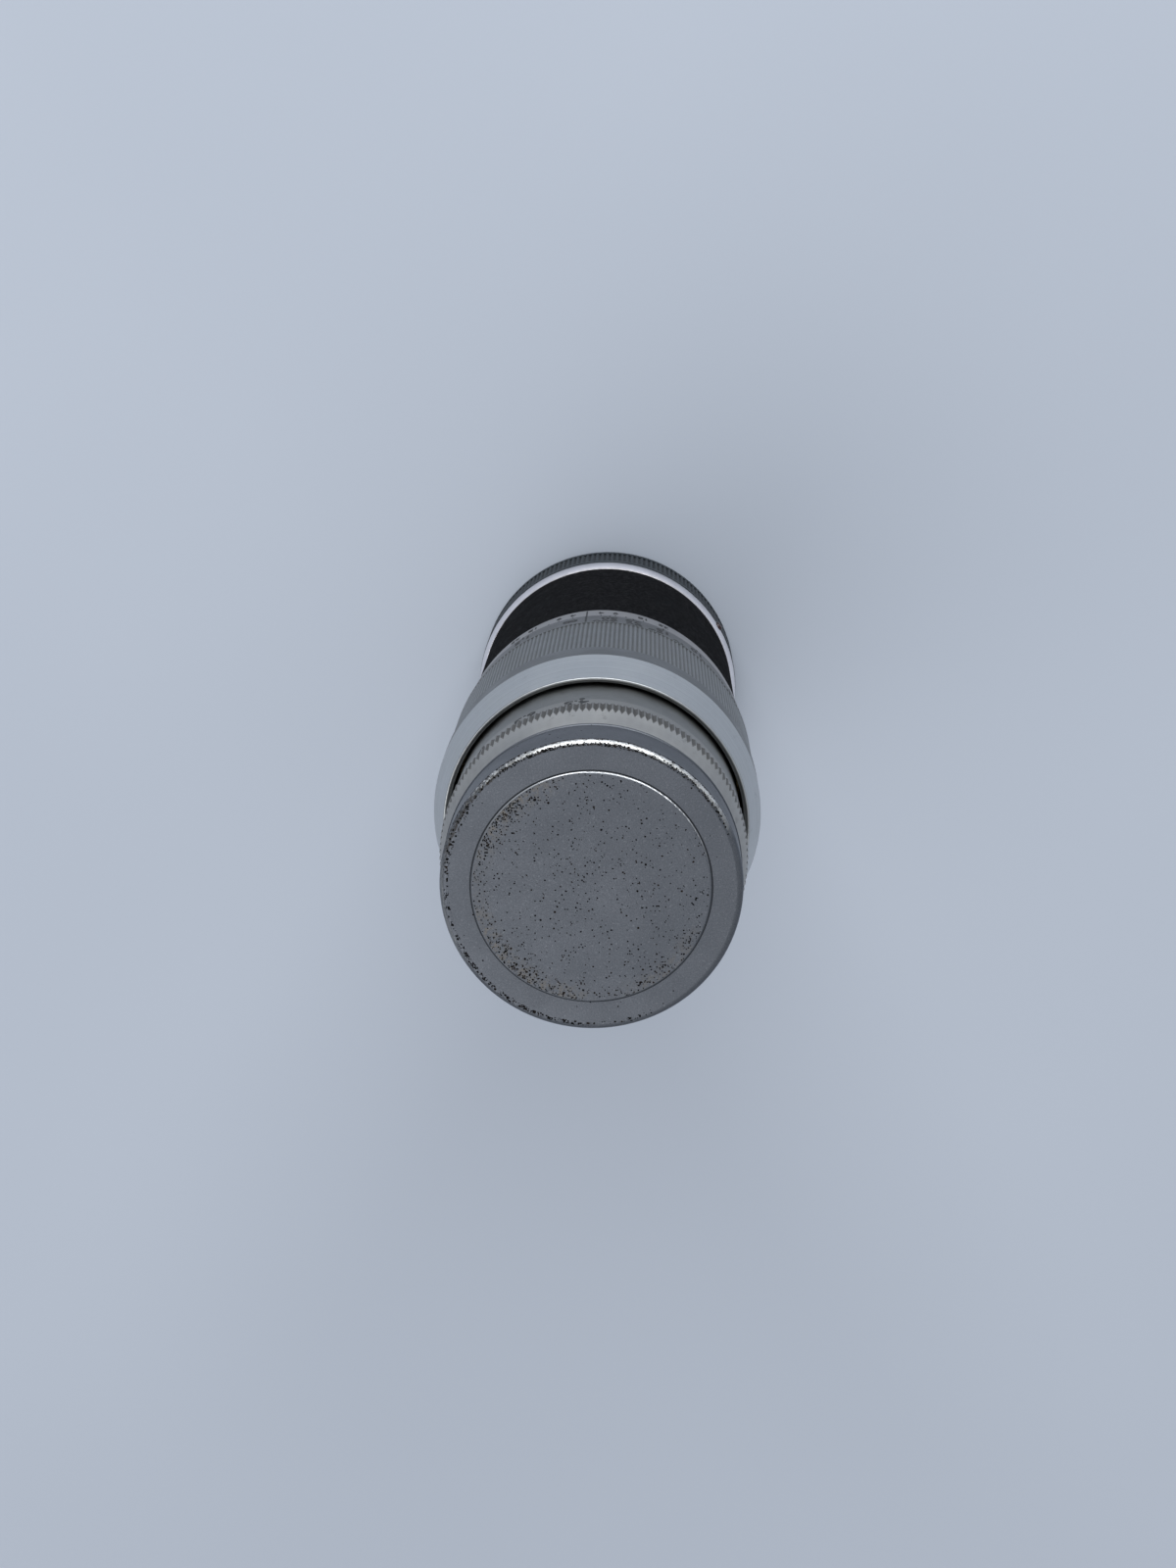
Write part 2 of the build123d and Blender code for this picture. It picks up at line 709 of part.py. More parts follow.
# Optic barrel: holds the cells and the iris
drive_slot_start = from_x(drive_screw_clock) + drive_slot_margin
with BuildPart() as optic_barrel:
    turned(
        [
            (optic_rear_bore_radius, optic_rear_z),
            (head_tube_radius, optic_rear_z),
            (head_tube_radius, bezel_z),
            (optic_neck_radius, bezel_z),
            (optic_neck_radius, optic_top_z),
            (optic_chamber_radius, optic_top_z),
            (optic_chamber_radius, chamber_z),
            (optic_shelf_bore_radius, chamber_z),
            (optic_shelf_bore_radius, optic_shelf_z),
            (optic_rear_bore_radius, optic_shelf_z),
        ]
    )
    with BuildSketch(Plane.XY.offset(drive_screw_z - drive_screw_radius - running_gap)):
        ring_sector(
            optic_chamber_radius - cut_margin,
            head_tube_radius + cut_margin,
            drive_slot_start,
            -aperture_turn - 2 * drive_slot_margin,
        )
    extrude(amount=2 * (drive_screw_radius + running_gap), mode=Mode.SUBTRACT)
optic_barrel.part.label = "optic_barrel"
export_step(optic_barrel.part, "parts/optic_barrel.step")

# Front bezel with the filter thread
with BuildPart() as front_bezel:
    turned(
        [
            (optic_neck_radius + seat_gap, bezel_z),
            (bezel_radius, bezel_z),
            (bezel_radius, bezel_top_z - bezel_chamfer),
            (bezel_radius - bezel_chamfer, bezel_top_z),
            (filter_thread_radius, bezel_top_z),
            (filter_thread_radius, bezel_top_z - filter_thread_length),
            (filter_thread_radius + filter_thread_relief, bezel_top_z - filter_thread_length),
            (filter_thread_radius + filter_thread_relief, optic_top_z + seat_gap),
            (optic_neck_radius + seat_gap, optic_top_z + seat_gap),
        ]
    )
front_bezel.part.label = "front_bezel"
export_step(front_bezel.part, "parts/front_bezel.step")

# Front cell and front lens
front_seat_z = front_cell_z + front_cell_lip
front_rim_z = front_seat_z + seat_gap + front_lens_edge
front_cell_top_z = optic_top_z - seat_gap
with BuildPart() as front_cell:
    turned(
        [
            (front_lens_radius - lens_ring_wall, front_cell_z),
            (cell_radius, front_cell_z),
            (cell_radius, front_cell_top_z),
            (front_lens_radius + seat_gap, front_cell_top_z),
            (front_lens_radius + seat_gap, front_seat_z),
            (front_lens_radius - lens_ring_wall, front_seat_z),
        ]
    )
front_cell.part.label = "front_cell"
export_step(front_cell.part, "parts/front_cell.step")

front_arc = arc_radius(front_lens_sag, front_lens_radius)
with BuildPart() as front_lens:
    with BuildSketch(Plane.XZ):
        with BuildLine():
            Polyline(
                (0, front_rim_z + front_lens_sag),
                (0, front_seat_z + seat_gap),
                (front_lens_radius, front_seat_z + seat_gap),
                (front_lens_radius, front_rim_z),
            )
            RadiusArc((front_lens_radius, front_rim_z), (0, front_rim_z + front_lens_sag), -front_arc)
        make_face()
    revolve(axis=Axis.Z)
front_lens.part.label = "front_lens"
export_step(front_lens.part, "parts/front_lens.step")

# Name ring, left bare: screws down on the front lens and hides its cell
with BuildPart() as name_ring:
    turned(
        [
            (name_ring_bore_radius, front_rim_z + lens_ring_lift),
            (front_lens_radius, front_rim_z + lens_ring_lift),
            (front_lens_radius, optic_top_z + seat_gap),
            (filter_thread_radius - seat_gap, optic_top_z + seat_gap),
            (filter_thread_radius - seat_gap, optic_top_z + seat_gap + name_ring_thickness),
            (name_ring_bore_radius, optic_top_z + seat_gap + name_ring_thickness - name_ring_slope),
        ]
    )
name_ring.part.label = "name_ring"
export_step(name_ring.part, "parts/name_ring.step")

# Middle cell with its cemented pair and the ring that holds it
middle_seat_z = middle_cell_z + middle_cell_lip
middle_rear_z = middle_seat_z + seat_gap
middle_joint_z = middle_rear_z + middle_rear_edge
middle_rim_z = middle_rear_z + middle_pair_edge
middle_top_z = middle_cell_z + middle_cell_length
with BuildPart() as middle_cell:
    turned(
        [
            (middle_lens_radius - lens_ring_wall, middle_cell_z),
            (cell_radius, middle_cell_z),
            (cell_radius, middle_top_z),
            (middle_lens_radius + seat_gap, middle_top_z),
            (middle_lens_radius + seat_gap, middle_seat_z),
            (middle_lens_radius - lens_ring_wall, middle_seat_z),
        ]
    )
middle_cell.part.label = "middle_cell"
export_step(middle_cell.part, "parts/middle_cell.step")

joint_arc = arc_radius(middle_joint_sag, middle_lens_radius)
with BuildPart() as middle_rear_element:
    with BuildSketch(Plane.XZ):
        with BuildLine():
            Polyline(
                (0, middle_joint_z + middle_joint_sag),
                (0, middle_rear_z),
                (middle_lens_radius, middle_rear_z),
                (middle_lens_radius, middle_joint_z),
            )
            RadiusArc(
                (middle_lens_radius, middle_joint_z),
                (0, middle_joint_z + middle_joint_sag),
                -joint_arc,
            )
        make_face()
    revolve(axis=Axis.Z)
middle_rear_element.part.label = "middle_rear_element"
export_step(middle_rear_element.part, "parts/middle_rear_element.step")

middle_front_arc = arc_radius(middle_front_sag, middle_lens_radius)
with BuildPart() as middle_front_element:
    with BuildSketch(Plane.XZ):
        with BuildLine():
            RadiusArc(
                (middle_lens_radius, middle_joint_z + cement_gap),
                (0, middle_joint_z + middle_joint_sag + cement_gap),
                -joint_arc,
            )
            Line(
                (0, middle_joint_z + middle_joint_sag + cement_gap),
                (0, middle_rim_z - middle_front_sag),
            )
            RadiusArc(
                (0, middle_rim_z - middle_front_sag),
                (middle_lens_radius, middle_rim_z),
                -middle_front_arc,
            )
            Line((middle_lens_radius, middle_rim_z), (middle_lens_radius, middle_joint_z + cement_gap))
        make_face()
    revolve(axis=Axis.Z)
middle_front_element.part.label = "middle_front_element"
export_step(middle_front_element.part, "parts/middle_front_element.step")

with BuildPart() as middle_lens_ring:
    with BuildSketch(Plane.XY.offset(middle_rim_z + seat_gap)):
        Circle(middle_lens_radius)
        Circle(middle_lens_radius - lens_ring_wall, mode=Mode.SUBTRACT)
    extrude(amount=middle_top_z - middle_rim_z - seat_gap)
middle_lens_ring.part.label = "middle_lens_ring"
export_step(middle_lens_ring.part, "parts/middle_lens_ring.step")

# Rear cell, rear lens and the ring that holds it
rear_cell_top_z = optic_shelf_z - seat_gap
rear_cell_z = rear_cell_top_z - rear_cell_length
rear_lip_z = rear_cell_top_z - rear_cell_mouth - rear_cell_lip
rear_rim_top_z = rear_lip_z - lens_ring_lift
rear_rim_z = rear_rim_top_z - rear_lens_edge
rear_lip_bore_radius = rear_lens_radius - lens_ring_wall
with BuildPart() as rear_cell:
    turned(
        [
            (rear_lens_radius + seat_gap, rear_cell_z),
            (optic_rear_bore_radius - seat_gap, rear_cell_z),
            (optic_rear_bore_radius - seat_gap, rear_cell_top_z),
            (rear_lens_radius, rear_cell_top_z),
            (rear_lip_bore_radius, rear_lip_z + rear_cell_lip),
            (rear_lip_bore_radius, rear_lip_z),
            (rear_lens_radius + seat_gap, rear_lip_z),
        ]
    )
rear_cell.part.label = "rear_cell"
export_step(rear_cell.part, "parts/rear_cell.step")

rear_lens_front_arc = arc_radius(rear_lens_front_sag, rear_lens_radius)
rear_lens_rear_arc = arc_radius(rear_lens_rear_sag, rear_lens_radius)
with BuildPart() as rear_lens:
    with BuildSketch(Plane.XZ):
        with BuildLine():
            RadiusArc(
                (0, rear_rim_z - rear_lens_rear_sag),
                (rear_lens_radius, rear_rim_z),
                -rear_lens_rear_arc,
            )
            Line((rear_lens_radius, rear_rim_z), (rear_lens_radius, rear_rim_top_z))
            RadiusArc(
                (rear_lens_radius, rear_rim_top_z),
                (0, rear_rim_top_z + rear_lens_front_sag),
                -rear_lens_front_arc,
            )
            Line((0, rear_rim_top_z + rear_lens_front_sag), (0, rear_rim_z - rear_lens_rear_sag))
        make_face()
    revolve(axis=Axis.Z)
rear_lens.part.label = "rear_lens"
export_step(rear_lens.part, "parts/rear_lens.step")

with BuildPart() as rear_lens_ring:
    with BuildSketch(Plane.XY.offset(rear_rim_z - lens_ring_lift - lens_ring_length)):
        Circle(rear_lens_radius)
        Circle(rear_lens_radius - lens_ring_wall, mode=Mode.SUBTRACT)
    extrude(amount=lens_ring_length)
rear_lens_ring.part.label = "rear_lens_ring"
export_step(rear_lens_ring.part, "parts/rear_lens_ring.step")

# Aperture ring: numeral band, coarse grooves that run out on the smooth cone
drive_head_radius = numeral_band_radius - drive_screw_head_length
with BuildPart() as aperture_ring:
    turned(
        [
            (aperture_bore_radius, aperture_z),
            (numeral_band_radius, aperture_z),
            (numeral_band_radius, numeral_top_z),
            (coarse_knurl_radius, numeral_top_z + coarse_knurl_radius - numeral_band_radius),
            (coarse_knurl_radius, coarse_knurl_top_z),
            (aperture_cone_radius, aperture_top_z),
            (aperture_bore_radius, aperture_top_z),
        ]
    )
    v_grooves(
        coarse_knurl_count,
        coarse_knurl_radius + coarse_knurl_crest_gap,
        coarse_knurl_depth,
        numeral_top_z,
        aperture_top_z,
    )
    with BuildSketch(radial_plane(drive_screw_clock, aperture_bore_radius - cut_margin, drive_screw_z)):
        Circle(drive_screw_radius + seat_gap)
    extrude(amount=numeral_band_radius - aperture_bore_radius + 2 * cut_margin, mode=Mode.SUBTRACT)
    with BuildSketch(radial_plane(drive_screw_clock, drive_head_radius - seat_gap, drive_screw_z)):
        Circle(drive_screw_head_radius + seat_gap)
    extrude(amount=drive_screw_head_length + cut_margin, mode=Mode.SUBTRACT)
aperture_ring.part.label = "aperture_ring"
export_step(aperture_ring.part, "parts/aperture_ring.step")

# Screw that links the aperture ring to the iris cam ring
drive_tip_radius = rotor_radius - drive_screw_depth + seat_gap
with BuildPart() as aperture_drive_screw:
    with BuildSketch(radial_plane(drive_screw_clock, drive_tip_radius, drive_screw_z)):
        Circle(drive_screw_radius)
    extrude(amount=drive_head_radius - drive_tip_radius + seat_gap)
    with BuildSketch(radial_plane(drive_screw_clock, drive_head_radius, drive_screw_z)):
        Circle(drive_screw_head_radius)
    extrude(amount=drive_screw_head_length - seat_gap)
    with BuildSketch(radial_plane(drive_screw_clock, numeral_band_radius - screw_slot_depth, drive_screw_z)):
        Rectangle(2 * drive_screw_head_radius + cut_margin, screw_slot_width)
    extrude(amount=screw_slot_depth, mode=Mode.SUBTRACT)
aperture_drive_screw.part.label = "aperture_drive_screw"
export_step(aperture_drive_screw.part, "parts/aperture_drive_screw.step")


# Iris blades: each turns on its own stud, and its crank pin runs in a slot of the cam ring
def crank_tip(turn):
    """Crank pin of the blade whose stud is on +Y, once the blade has turned by an angle."""
    lean = radians(iris_crank_lean + turn)
    return (iris_crank_length * cos(lean), iris_pivot_radius - iris_crank_length * sin(lean))


def slot_point(share):
    """The same pin at a share of the full travel, as a point of the cam ring's own face."""
    x, y = crank_tip(iris_blade_turn * share)
    back = radians(aperture_turn * share)
    return (x * cos(back) - y * sin(back), x * sin(back) + y * cos(back))


pin_x, pin_y = crank_tip(0)
pin_clock = degrees(atan2(pin_x, pin_y))
first_blade_clock = drive_screw_clock - pin_clock + drive_screw_land
blade_clocks = [first_blade_clock + i * 360 / iris_blade_count for i in range(iris_blade_count)]

with BuildPart() as iris_base_ring:
    with BuildSketch(Plane.XY.offset(chamber_z)):
        Circle(cell_radius)
        Circle(iris_open_radius, mode=Mode.SUBTRACT)
        with PolarLocations(iris_pivot_radius, iris_blade_count, from_x(first_blade_clock)):
            Circle(iris_stud_radius + seat_gap, mode=Mode.SUBTRACT)
    extrude(amount=iris_base_thickness)
iris_base_ring.part.label = "iris_base_ring"
export_step(iris_base_ring.part, "parts/iris_base_ring.step")

back = degrees(iris_root_half_width / iris_pivot_radius)
root_inner_radius = iris_blade_outer_radius - cut_margin
root_outer_radius = iris_pivot_radius + iris_stud_radius
for i, clock in enumerate(blade_clocks):
    name = f"iris_blade_{i + 1:02d}"
    level_z = blade_z + i * iris_blade_pitch
    with BuildPart() as iris_blade:
        with BuildSketch(clock_plane(level_z, clock)):
            ring_sector(iris_open_radius, iris_blade_outer_radius, from_x(-back), -back - iris_blade_sweep)
            ring_sector(root_inner_radius, root_outer_radius, from_x(-back), -2 * back)
        extrude(amount=iris_blade_thickness)
        with BuildSketch(clock_plane(chamber_z + seat_gap, clock)):
            with Locations((0, iris_pivot_radius)):
                Circle(iris_stud_radius)
        extrude(amount=crank_z + iris_crank_thickness - chamber_z - seat_gap)
        with BuildSketch(clock_plane(crank_z, clock)):
            with Locations((pin_x / 2, (pin_y + iris_pivot_radius) / 2)):
                SlotCenterToCenter(iris_crank_length, iris_crank_width, rotation=-iris_crank_lean)
        extrude(amount=iris_crank_thickness)
        with BuildSketch(clock_plane(crank_z, clock)):
            with Locations((pin_x, pin_y)):
                Circle(iris_pin_radius)
        extrude(amount=rotor_top_z - seat_gap - crank_z)
    iris_blade.part.label = name
    export_step(iris_blade.part, f"parts/{name}.step")

# Cam ring: turns with the aperture ring and swings the blades through its spiral slots
slot_arcs = []
for share in (0, 0.5):
    ends = [slot_point(share + step) for step in (0, 0.25, 0.5)]
    slot_arcs.append(Edge.make_three_point_arc(*ends))
with BuildPart() as iris_cam_ring:
    with BuildSketch(Plane.XY.offset(rotor_z)):
        Circle(rotor_radius)
        Circle(iris_rotor_bore_radius, mode=Mode.SUBTRACT)
        with PolarLocations(0, iris_blade_count, -first_blade_clock):
            for slot_arc in slot_arcs:
                SlotArc(slot_arc, 2 * (iris_pin_radius + iris_slot_gap), mode=Mode.SUBTRACT)
    extrude(amount=iris_rotor_thickness)
    with BuildSketch(radial_plane(drive_screw_clock, rotor_radius - drive_screw_depth, drive_screw_z)):
        Circle(drive_screw_radius + seat_gap)
    extrude(amount=drive_screw_depth + cut_margin, mode=Mode.SUBTRACT)
iris_cam_ring.part.label = "iris_cam_ring"
export_step(iris_cam_ring.part, "parts/iris_cam_ring.step")

with BuildPart() as iris_cover_ring:
    with BuildSketch(Plane.XY.offset(cover_z)):
        Circle(cell_radius)
        Circle(iris_open_radius, mode=Mode.SUBTRACT)
    extrude(amount=iris_cover_thickness)
iris_cover_ring.part.label = "iris_cover_ring"
export_step(iris_cover_ring.part, "parts/iris_cover_ring.step")

# Front cap: pressed from sheet, with a raised disc
with BuildPart() as front_cap:
    turned(
        [
            (0, cap_top_z + cap_disc_height),
            (0, cap_inner_z + cap_disc_height),
            (cap_disc_radius - cap_top, cap_inner_z + cap_disc_height),
            (cap_disc_radius - cap_top, cap_inner_z),
            (front_cap_radius - cap_wall, cap_inner_z),
            (front_cap_radius - cap_wall, cap_z),
            (front_cap_radius, cap_z),
            (front_cap_radius, cap_top_z),
            (cap_disc_radius, cap_top_z),
            (cap_disc_radius, cap_top_z + cap_disc_height),
        ]
    )
    cap_circles = front_cap.edges().filter_by(GeomType.CIRCLE)
    fillet(cap_circles.group_by(SortBy.RADIUS)[-1].sort_by(Axis.Z)[-1], cap_corner_radius)
    fillet(front_cap.edges().filter_by(GeomType.CIRCLE).sort_by(Axis.Z)[-1], cap_disc_edge)
    turned(
        [
            (front_cap_radius - cap_wall / 2, cap_z),
            (front_cap_radius + cap_lip_height, cap_z),
            (front_cap_radius + cap_lip_height, cap_z + cap_lip_length),
            (front_cap_radius, cap_z + cap_lip_length + cap_lip_height),
            (front_cap_radius - cap_wall / 2, cap_z + cap_lip_length + cap_lip_height),
        ]
    )
front_cap.part.label = "front_cap"
export_step(front_cap.part, "parts/front_cap.step")

# Felt liner that grips the bezel
with BuildPart() as cap_liner:
    with BuildSketch(Plane.XY.offset(cap_z + liner_margin)):
        Circle(front_cap_radius - cap_wall - seat_gap)
        Circle(bezel_radius + running_gap, mode=Mode.SUBTRACT)
    extrude(amount=cap_inner_z - cap_z - 2 * liner_margin)
cap_liner.part.label = "cap_liner"
export_step(cap_liner.part, "parts/cap_liner.step")
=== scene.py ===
from math import cos, pi, radians, sin

import bmesh
import bpy
from mathutils import Matrix, Vector


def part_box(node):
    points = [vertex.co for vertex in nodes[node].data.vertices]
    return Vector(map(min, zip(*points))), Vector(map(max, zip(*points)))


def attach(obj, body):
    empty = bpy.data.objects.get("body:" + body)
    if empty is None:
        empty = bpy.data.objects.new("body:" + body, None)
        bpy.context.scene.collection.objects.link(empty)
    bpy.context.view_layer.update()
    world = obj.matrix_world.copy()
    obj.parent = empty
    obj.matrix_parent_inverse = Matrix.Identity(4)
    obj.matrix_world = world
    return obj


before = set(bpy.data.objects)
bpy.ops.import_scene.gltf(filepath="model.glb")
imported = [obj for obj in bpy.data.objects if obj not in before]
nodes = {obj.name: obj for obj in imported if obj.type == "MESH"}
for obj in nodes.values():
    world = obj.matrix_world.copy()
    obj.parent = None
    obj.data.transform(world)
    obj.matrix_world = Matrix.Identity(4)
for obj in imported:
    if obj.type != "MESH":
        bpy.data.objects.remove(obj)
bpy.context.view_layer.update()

# Long-focus rangefinder lens, standing on its rear cap, with its front cap on.
# Clock angles are in degrees and run clockwise from +Y, seen from the front.
# Lengths are in millimetres, and become metres where a mesh or a node takes them.

mm = 0.001

# Lengths of the turned pieces, as in the part
grip_spigot = 3.4
fine_knurl_length = 22.4
fine_knurl_sink = 0.25
land_length = 6.1
aperture_band = 3.1
coarse_knurl_length = 3.9
cone_slope = 1.85 / 4.4
cap_lip = 0.15
cap_corner = 1.0
disc_rise = 0.4
cap_rim_width = 4.54
filter_thread_radius = 19.7
filter_thread_pitch = 0.5

# How deep the marks of a surface stand in its relief, in metres
hairline = 0.02 * mm
scratch = 0.03 * mm


def top_of(name):
    """Highest point of a node, in millimetres."""
    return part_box(name)[1].z / mm


def base_of(name):
    """Lowest point of a node, in millimetres."""
    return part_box(name)[0].z / mm


def radius_of(name):
    """Outside radius of a round node, in millimetres."""
    low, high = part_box(name)
    return (high.x - low.x) / 2 / mm


# Finishes
class Finish:
    """A material, with short calls for the nodes that make its surface."""

    def __init__(self, name):
        self.material = bpy.data.materials.new(name)
        self.material.use_nodes = True
        self.tree = self.material.node_tree
        self.shader = self.tree.nodes["Principled BSDF"]
        self.place = self.node("ShaderNodeTexCoord").outputs["Object"]
        parts = self.node("ShaderNodeSeparateXYZ", Vector=self.place).outputs
        self.z = parts["Z"]
        squares = self.plus(self.times(parts["X"], parts["X"]), self.times(parts["Y"], parts["Y"]))
        self.radius = self.math("SQRT", squares)
        self.clock = self.math("ARCTAN2", parts["X"], parts["Y"])

    def node(self, kind, settings=None, **inputs):
        """A node with its settings, and its inputs fed by name."""
        made = self.tree.nodes.new(kind)
        for key, value in (settings or {}).items():
            setattr(made, key, value)
        for key, value in inputs.items():
            self.feed(made.inputs[key.replace("_", " ")], value)
        return made

    def feed(self, socket, value):
        """Link another node's output, or set a plain value."""
        if isinstance(value, bpy.types.NodeSocket):
            self.tree.links.new(value, socket)
        else:
            socket.default_value = value

    def math(self, operation, first, second=0.0, clamp=False):
        """One maths node."""
        made = self.node("ShaderNodeMath", {"operation": operation, "use_clamp": clamp})
        self.feed(made.inputs[0], first)
        self.feed(made.inputs[1], second)
        return made.outputs[0]

    def plus(self, first, second, clamp=False):
        return self.math("ADD", first, second, clamp)

    def minus(self, first, second, clamp=False):
        return self.math("SUBTRACT", first, second, clamp)

    def times(self, *values):
        """Several values multiplied."""
        result = values[0]
        for value in values[1:]:
            result = self.math("MULTIPLY", result, value)
        return result

    def most(self, *values):
        """The largest of several values."""
        result = values[0]
        for value in values[1:]:
            result = self.math("MAXIMUM", result, value)
        return result

    def ramp(self, value, low, high, start=0.0, end=1.0):
        """A smooth step of value between low and high."""
        made = self.node("ShaderNodeMapRange", {"interpolation_type": "SMOOTHSTEP"})
        self.feed(made.inputs["Value"], value)
        for key, number in (("From Min", low), ("From Max", high), ("To Min", start), ("To Max", end)):
            self.feed(made.inputs[key], number)
        return made.outputs["Result"]

    def spread(self, value, start=0.0, end=1.0):
        """A noise drawn out from its usual range to the whole one."""
        return self.ramp(value, 0.3, 0.7, start, end)

    def band(self, value, low, high, soft):
        """One between low and high, with soft edges."""
        return self.times(self.ramp(value, low - soft, low + soft),
                          self.ramp(value, high - soft, high + soft, 1.0, 0.0))

    def near_clock(self, middle, half, soft):
        """One within half an angle of a clock angle, in degrees, with soft edges."""
        turned = self.minus(self.clock, radians(middle))
        whole = self.math("WRAP", turned, pi)
        self.feed(whole.node.inputs[2], -pi)
        away = self.math("ABSOLUTE", whole)
        return self.ramp(away, radians(half - soft), radians(half + soft), 1.0, 0.0)

    def noise(self, scale, detail=3.0, roughness=0.55, place=None, stretch=None):
        """A fractal noise, over the object's own coordinates unless a place is given."""
        place = place or self.place
        if stretch:
            place = self.node("ShaderNodeMapping", Vector=place, Scale=stretch).outputs["Vector"]
        made = self.node("ShaderNodeTexNoise", Vector=place, Scale=scale, Detail=detail, Roughness=roughness)
        return made.outputs["Fac"]

    def lathe(self, scale, detail=2.0):
        """Noise that only changes along the radius and the axis, as a lathe leaves it."""
        around = self.node("ShaderNodeCombineXYZ", X=self.radius, Y=self.z).outputs["Vector"]
        return self.noise(scale, detail, 0.6, around)

    def cells(self, scale, place=None):
        """A pattern of cells, each round a point."""
        return self.node("ShaderNodeTexVoronoi", Vector=place or self.place, Scale=scale)

    def torn_place(self, scale, reach):
        """Object coordinates shifted by a noise, which gives round cells ragged outlines."""
        shift = self.node("ShaderNodeTexNoise", Vector=self.place, Scale=scale, Detail=3.0).outputs["Color"]
        made = self.node("ShaderNodeVectorMath", {"operation": "MULTIPLY_ADD"})
        for socket, value in zip(made.inputs, (shift, (reach, reach, reach), self.place)):
            self.feed(socket, value)
        return made.outputs["Vector"]

    def pits(self, scale, small, large, crowd, place=None):
        """Pits in a share of the cells, each between a small and a large part of its cell."""
        cell = self.cells(scale, place)
        chance = self.node("ShaderNodeSeparateColor", Color=cell.outputs["Color"])
        reach = self.ramp(chance.outputs["Red"], 0.0, 1.0, small, large)
        hole = self.ramp(self.minus(cell.outputs["Distance"], reach), -0.06, 0.04, 1.0, 0.0)
        chosen = self.math("LESS_THAN", chance.outputs["Green"], crowd)
        return self.times(hole, chosen)

    def blend(self, share, first, second):
        """A share of the second colour over the first."""
        made = self.node("ShaderNodeMix", {"data_type": "RGBA"})
        self.feed(made.inputs["Factor"], share)
        self.feed(made.inputs["A"], (*first, 1.0) if isinstance(first, tuple) else first)
        self.feed(made.inputs["B"], (*second, 1.0) if isinstance(second, tuple) else second)
        return made.outputs["Result"]

    def relief(self, height, strength, distance, under=None):
        """Bumps of a height, laid over the bumps under them."""
        made = self.node("ShaderNodeBump", Height=height, Strength=strength, Distance=distance)
        if under is not None:
            self.feed(made.inputs["Normal"], under)
        return made.outputs["Normal"]

    def gloss(self, level):
        """How strongly a surface that isn't metal mirrors."""
        self.shader.inputs["Specular IOR Level"].default_value = level

    def set(self, **inputs):
        """Feed the shader by name, and give back the material."""
        for key, value in inputs.items():
            self.feed(self.shader.inputs[key.replace("_", " ")], value)
        return self.material


def shade(colour, factor):
    """The same colour, lighter or darker."""
    return tuple(min(c * factor, 0.95) for c in colour)


def satin_chrome(name, colour, roughness=0.38, marks=0.35, grime=0.25, lit_and_shaded_bands=(), worn_and_highlit_edges=(), grooves=None,
                 thread=None):
    """Satin plated brass: turning marks, mottling and a little grime, with painted light and shade where it
    is asked for.

    lit_and_shaded_bands: (low, high, factor) bands painted lighter or darker, as painted light and shade
    rubbed: (height, reach, strength) edges painted bright, as a painted highlight on edge breaks with some
    wear
    grooves: floors of cut grooves darkened with painted shade, see sunk_share
    thread: (inside radius, pitch) of a thread in the bore, with painted shade in its valleys
    """
    finish = Finish(name)
    turned = finish.lathe(9000.0)
    cloud = finish.noise(90.0, 4.0, 0.6)
    tone = finish.blend(finish.spread(cloud), shade(colour, 0.9), shade(colour, 1.07))
    # Painted light and shade: whole bands of the surface made lighter or darker
    for low, high, factor in lit_and_shaded_bands:
        here = finish.band(finish.z, low * mm, high * mm, 0.04 * mm)
        tone = finish.blend(here, tone, shade(colour, factor))
    tone = finish.blend(finish.times(finish.ramp(turned, 0.35, 0.65), 0.3), tone, shade(colour, 0.7))
    smudge = finish.times(finish.ramp(finish.noise(420.0, 5.0, 0.7), 0.6, 0.72), grime)
    tone = finish.blend(smudge, tone, (0.06, 0.056, 0.05))
    rough = finish.ramp(finish.noise(140.0, 4.0), 0.25, 0.75, roughness - 0.06, roughness + 0.08)
    if grooves:
        deep = sunk_share(finish, grooves)
        # Painted shade on the floors of the grooves
        tone = finish.blend(finish.times(deep, grooves["groove_shade"]), tone, shade(colour, 0.12))
        rough = finish.plus(rough, finish.times(deep, 0.25), True)
    # Edges painted bright: painted highlight on edge breaks, partly wear
    for height, reach, strength in worn_and_highlit_edges:
        wear_and_highlight = finish.band(finish.z, (height - reach) * mm, (height + reach) * mm, 0.03 * mm)
        patchy = finish.ramp(finish.noise(900.0, 4.0, 0.7), 0.34, 0.5, 0.55, 1.0)
        wear_and_highlight = finish.times(wear_and_highlight, patchy, strength)
        tone = finish.blend(wear_and_highlight, tone, (0.86, 0.86, 0.85))
        rough = finish.minus(rough, finish.times(wear_and_highlight, 0.16), True)
    surface = finish.relief(turned, marks, hairline)
    surface = finish.relief(finish.lathe(1400.0, 3.0), marks * 0.5, scratch, surface)
    surface = finish.relief(finish.noise(5200.0, 2.0, 0.6), 0.12, hairline, surface)
    if thread:
        inside, pitch = thread
        wave = finish.math("SINE", finish.times(finish.z, 2.0 * pi / (pitch * mm)))
        wall = finish.ramp(finish.radius, inside * mm, (inside + 0.2) * mm, 1.0, 0.0)
        surface = finish.relief(finish.times(wave, wall), 1.0, 0.12 * mm, surface)
        # Painted shade in the thread's valleys
        valley_shade = finish.times(finish.ramp(wave, 0.2, -0.9), wall, 0.6)
        tone = finish.blend(valley_shade, tone, shade(colour, 0.15))
    return finish.set(Base_Color=tone, Metallic=1.0, Roughness=rough, Normal=surface)


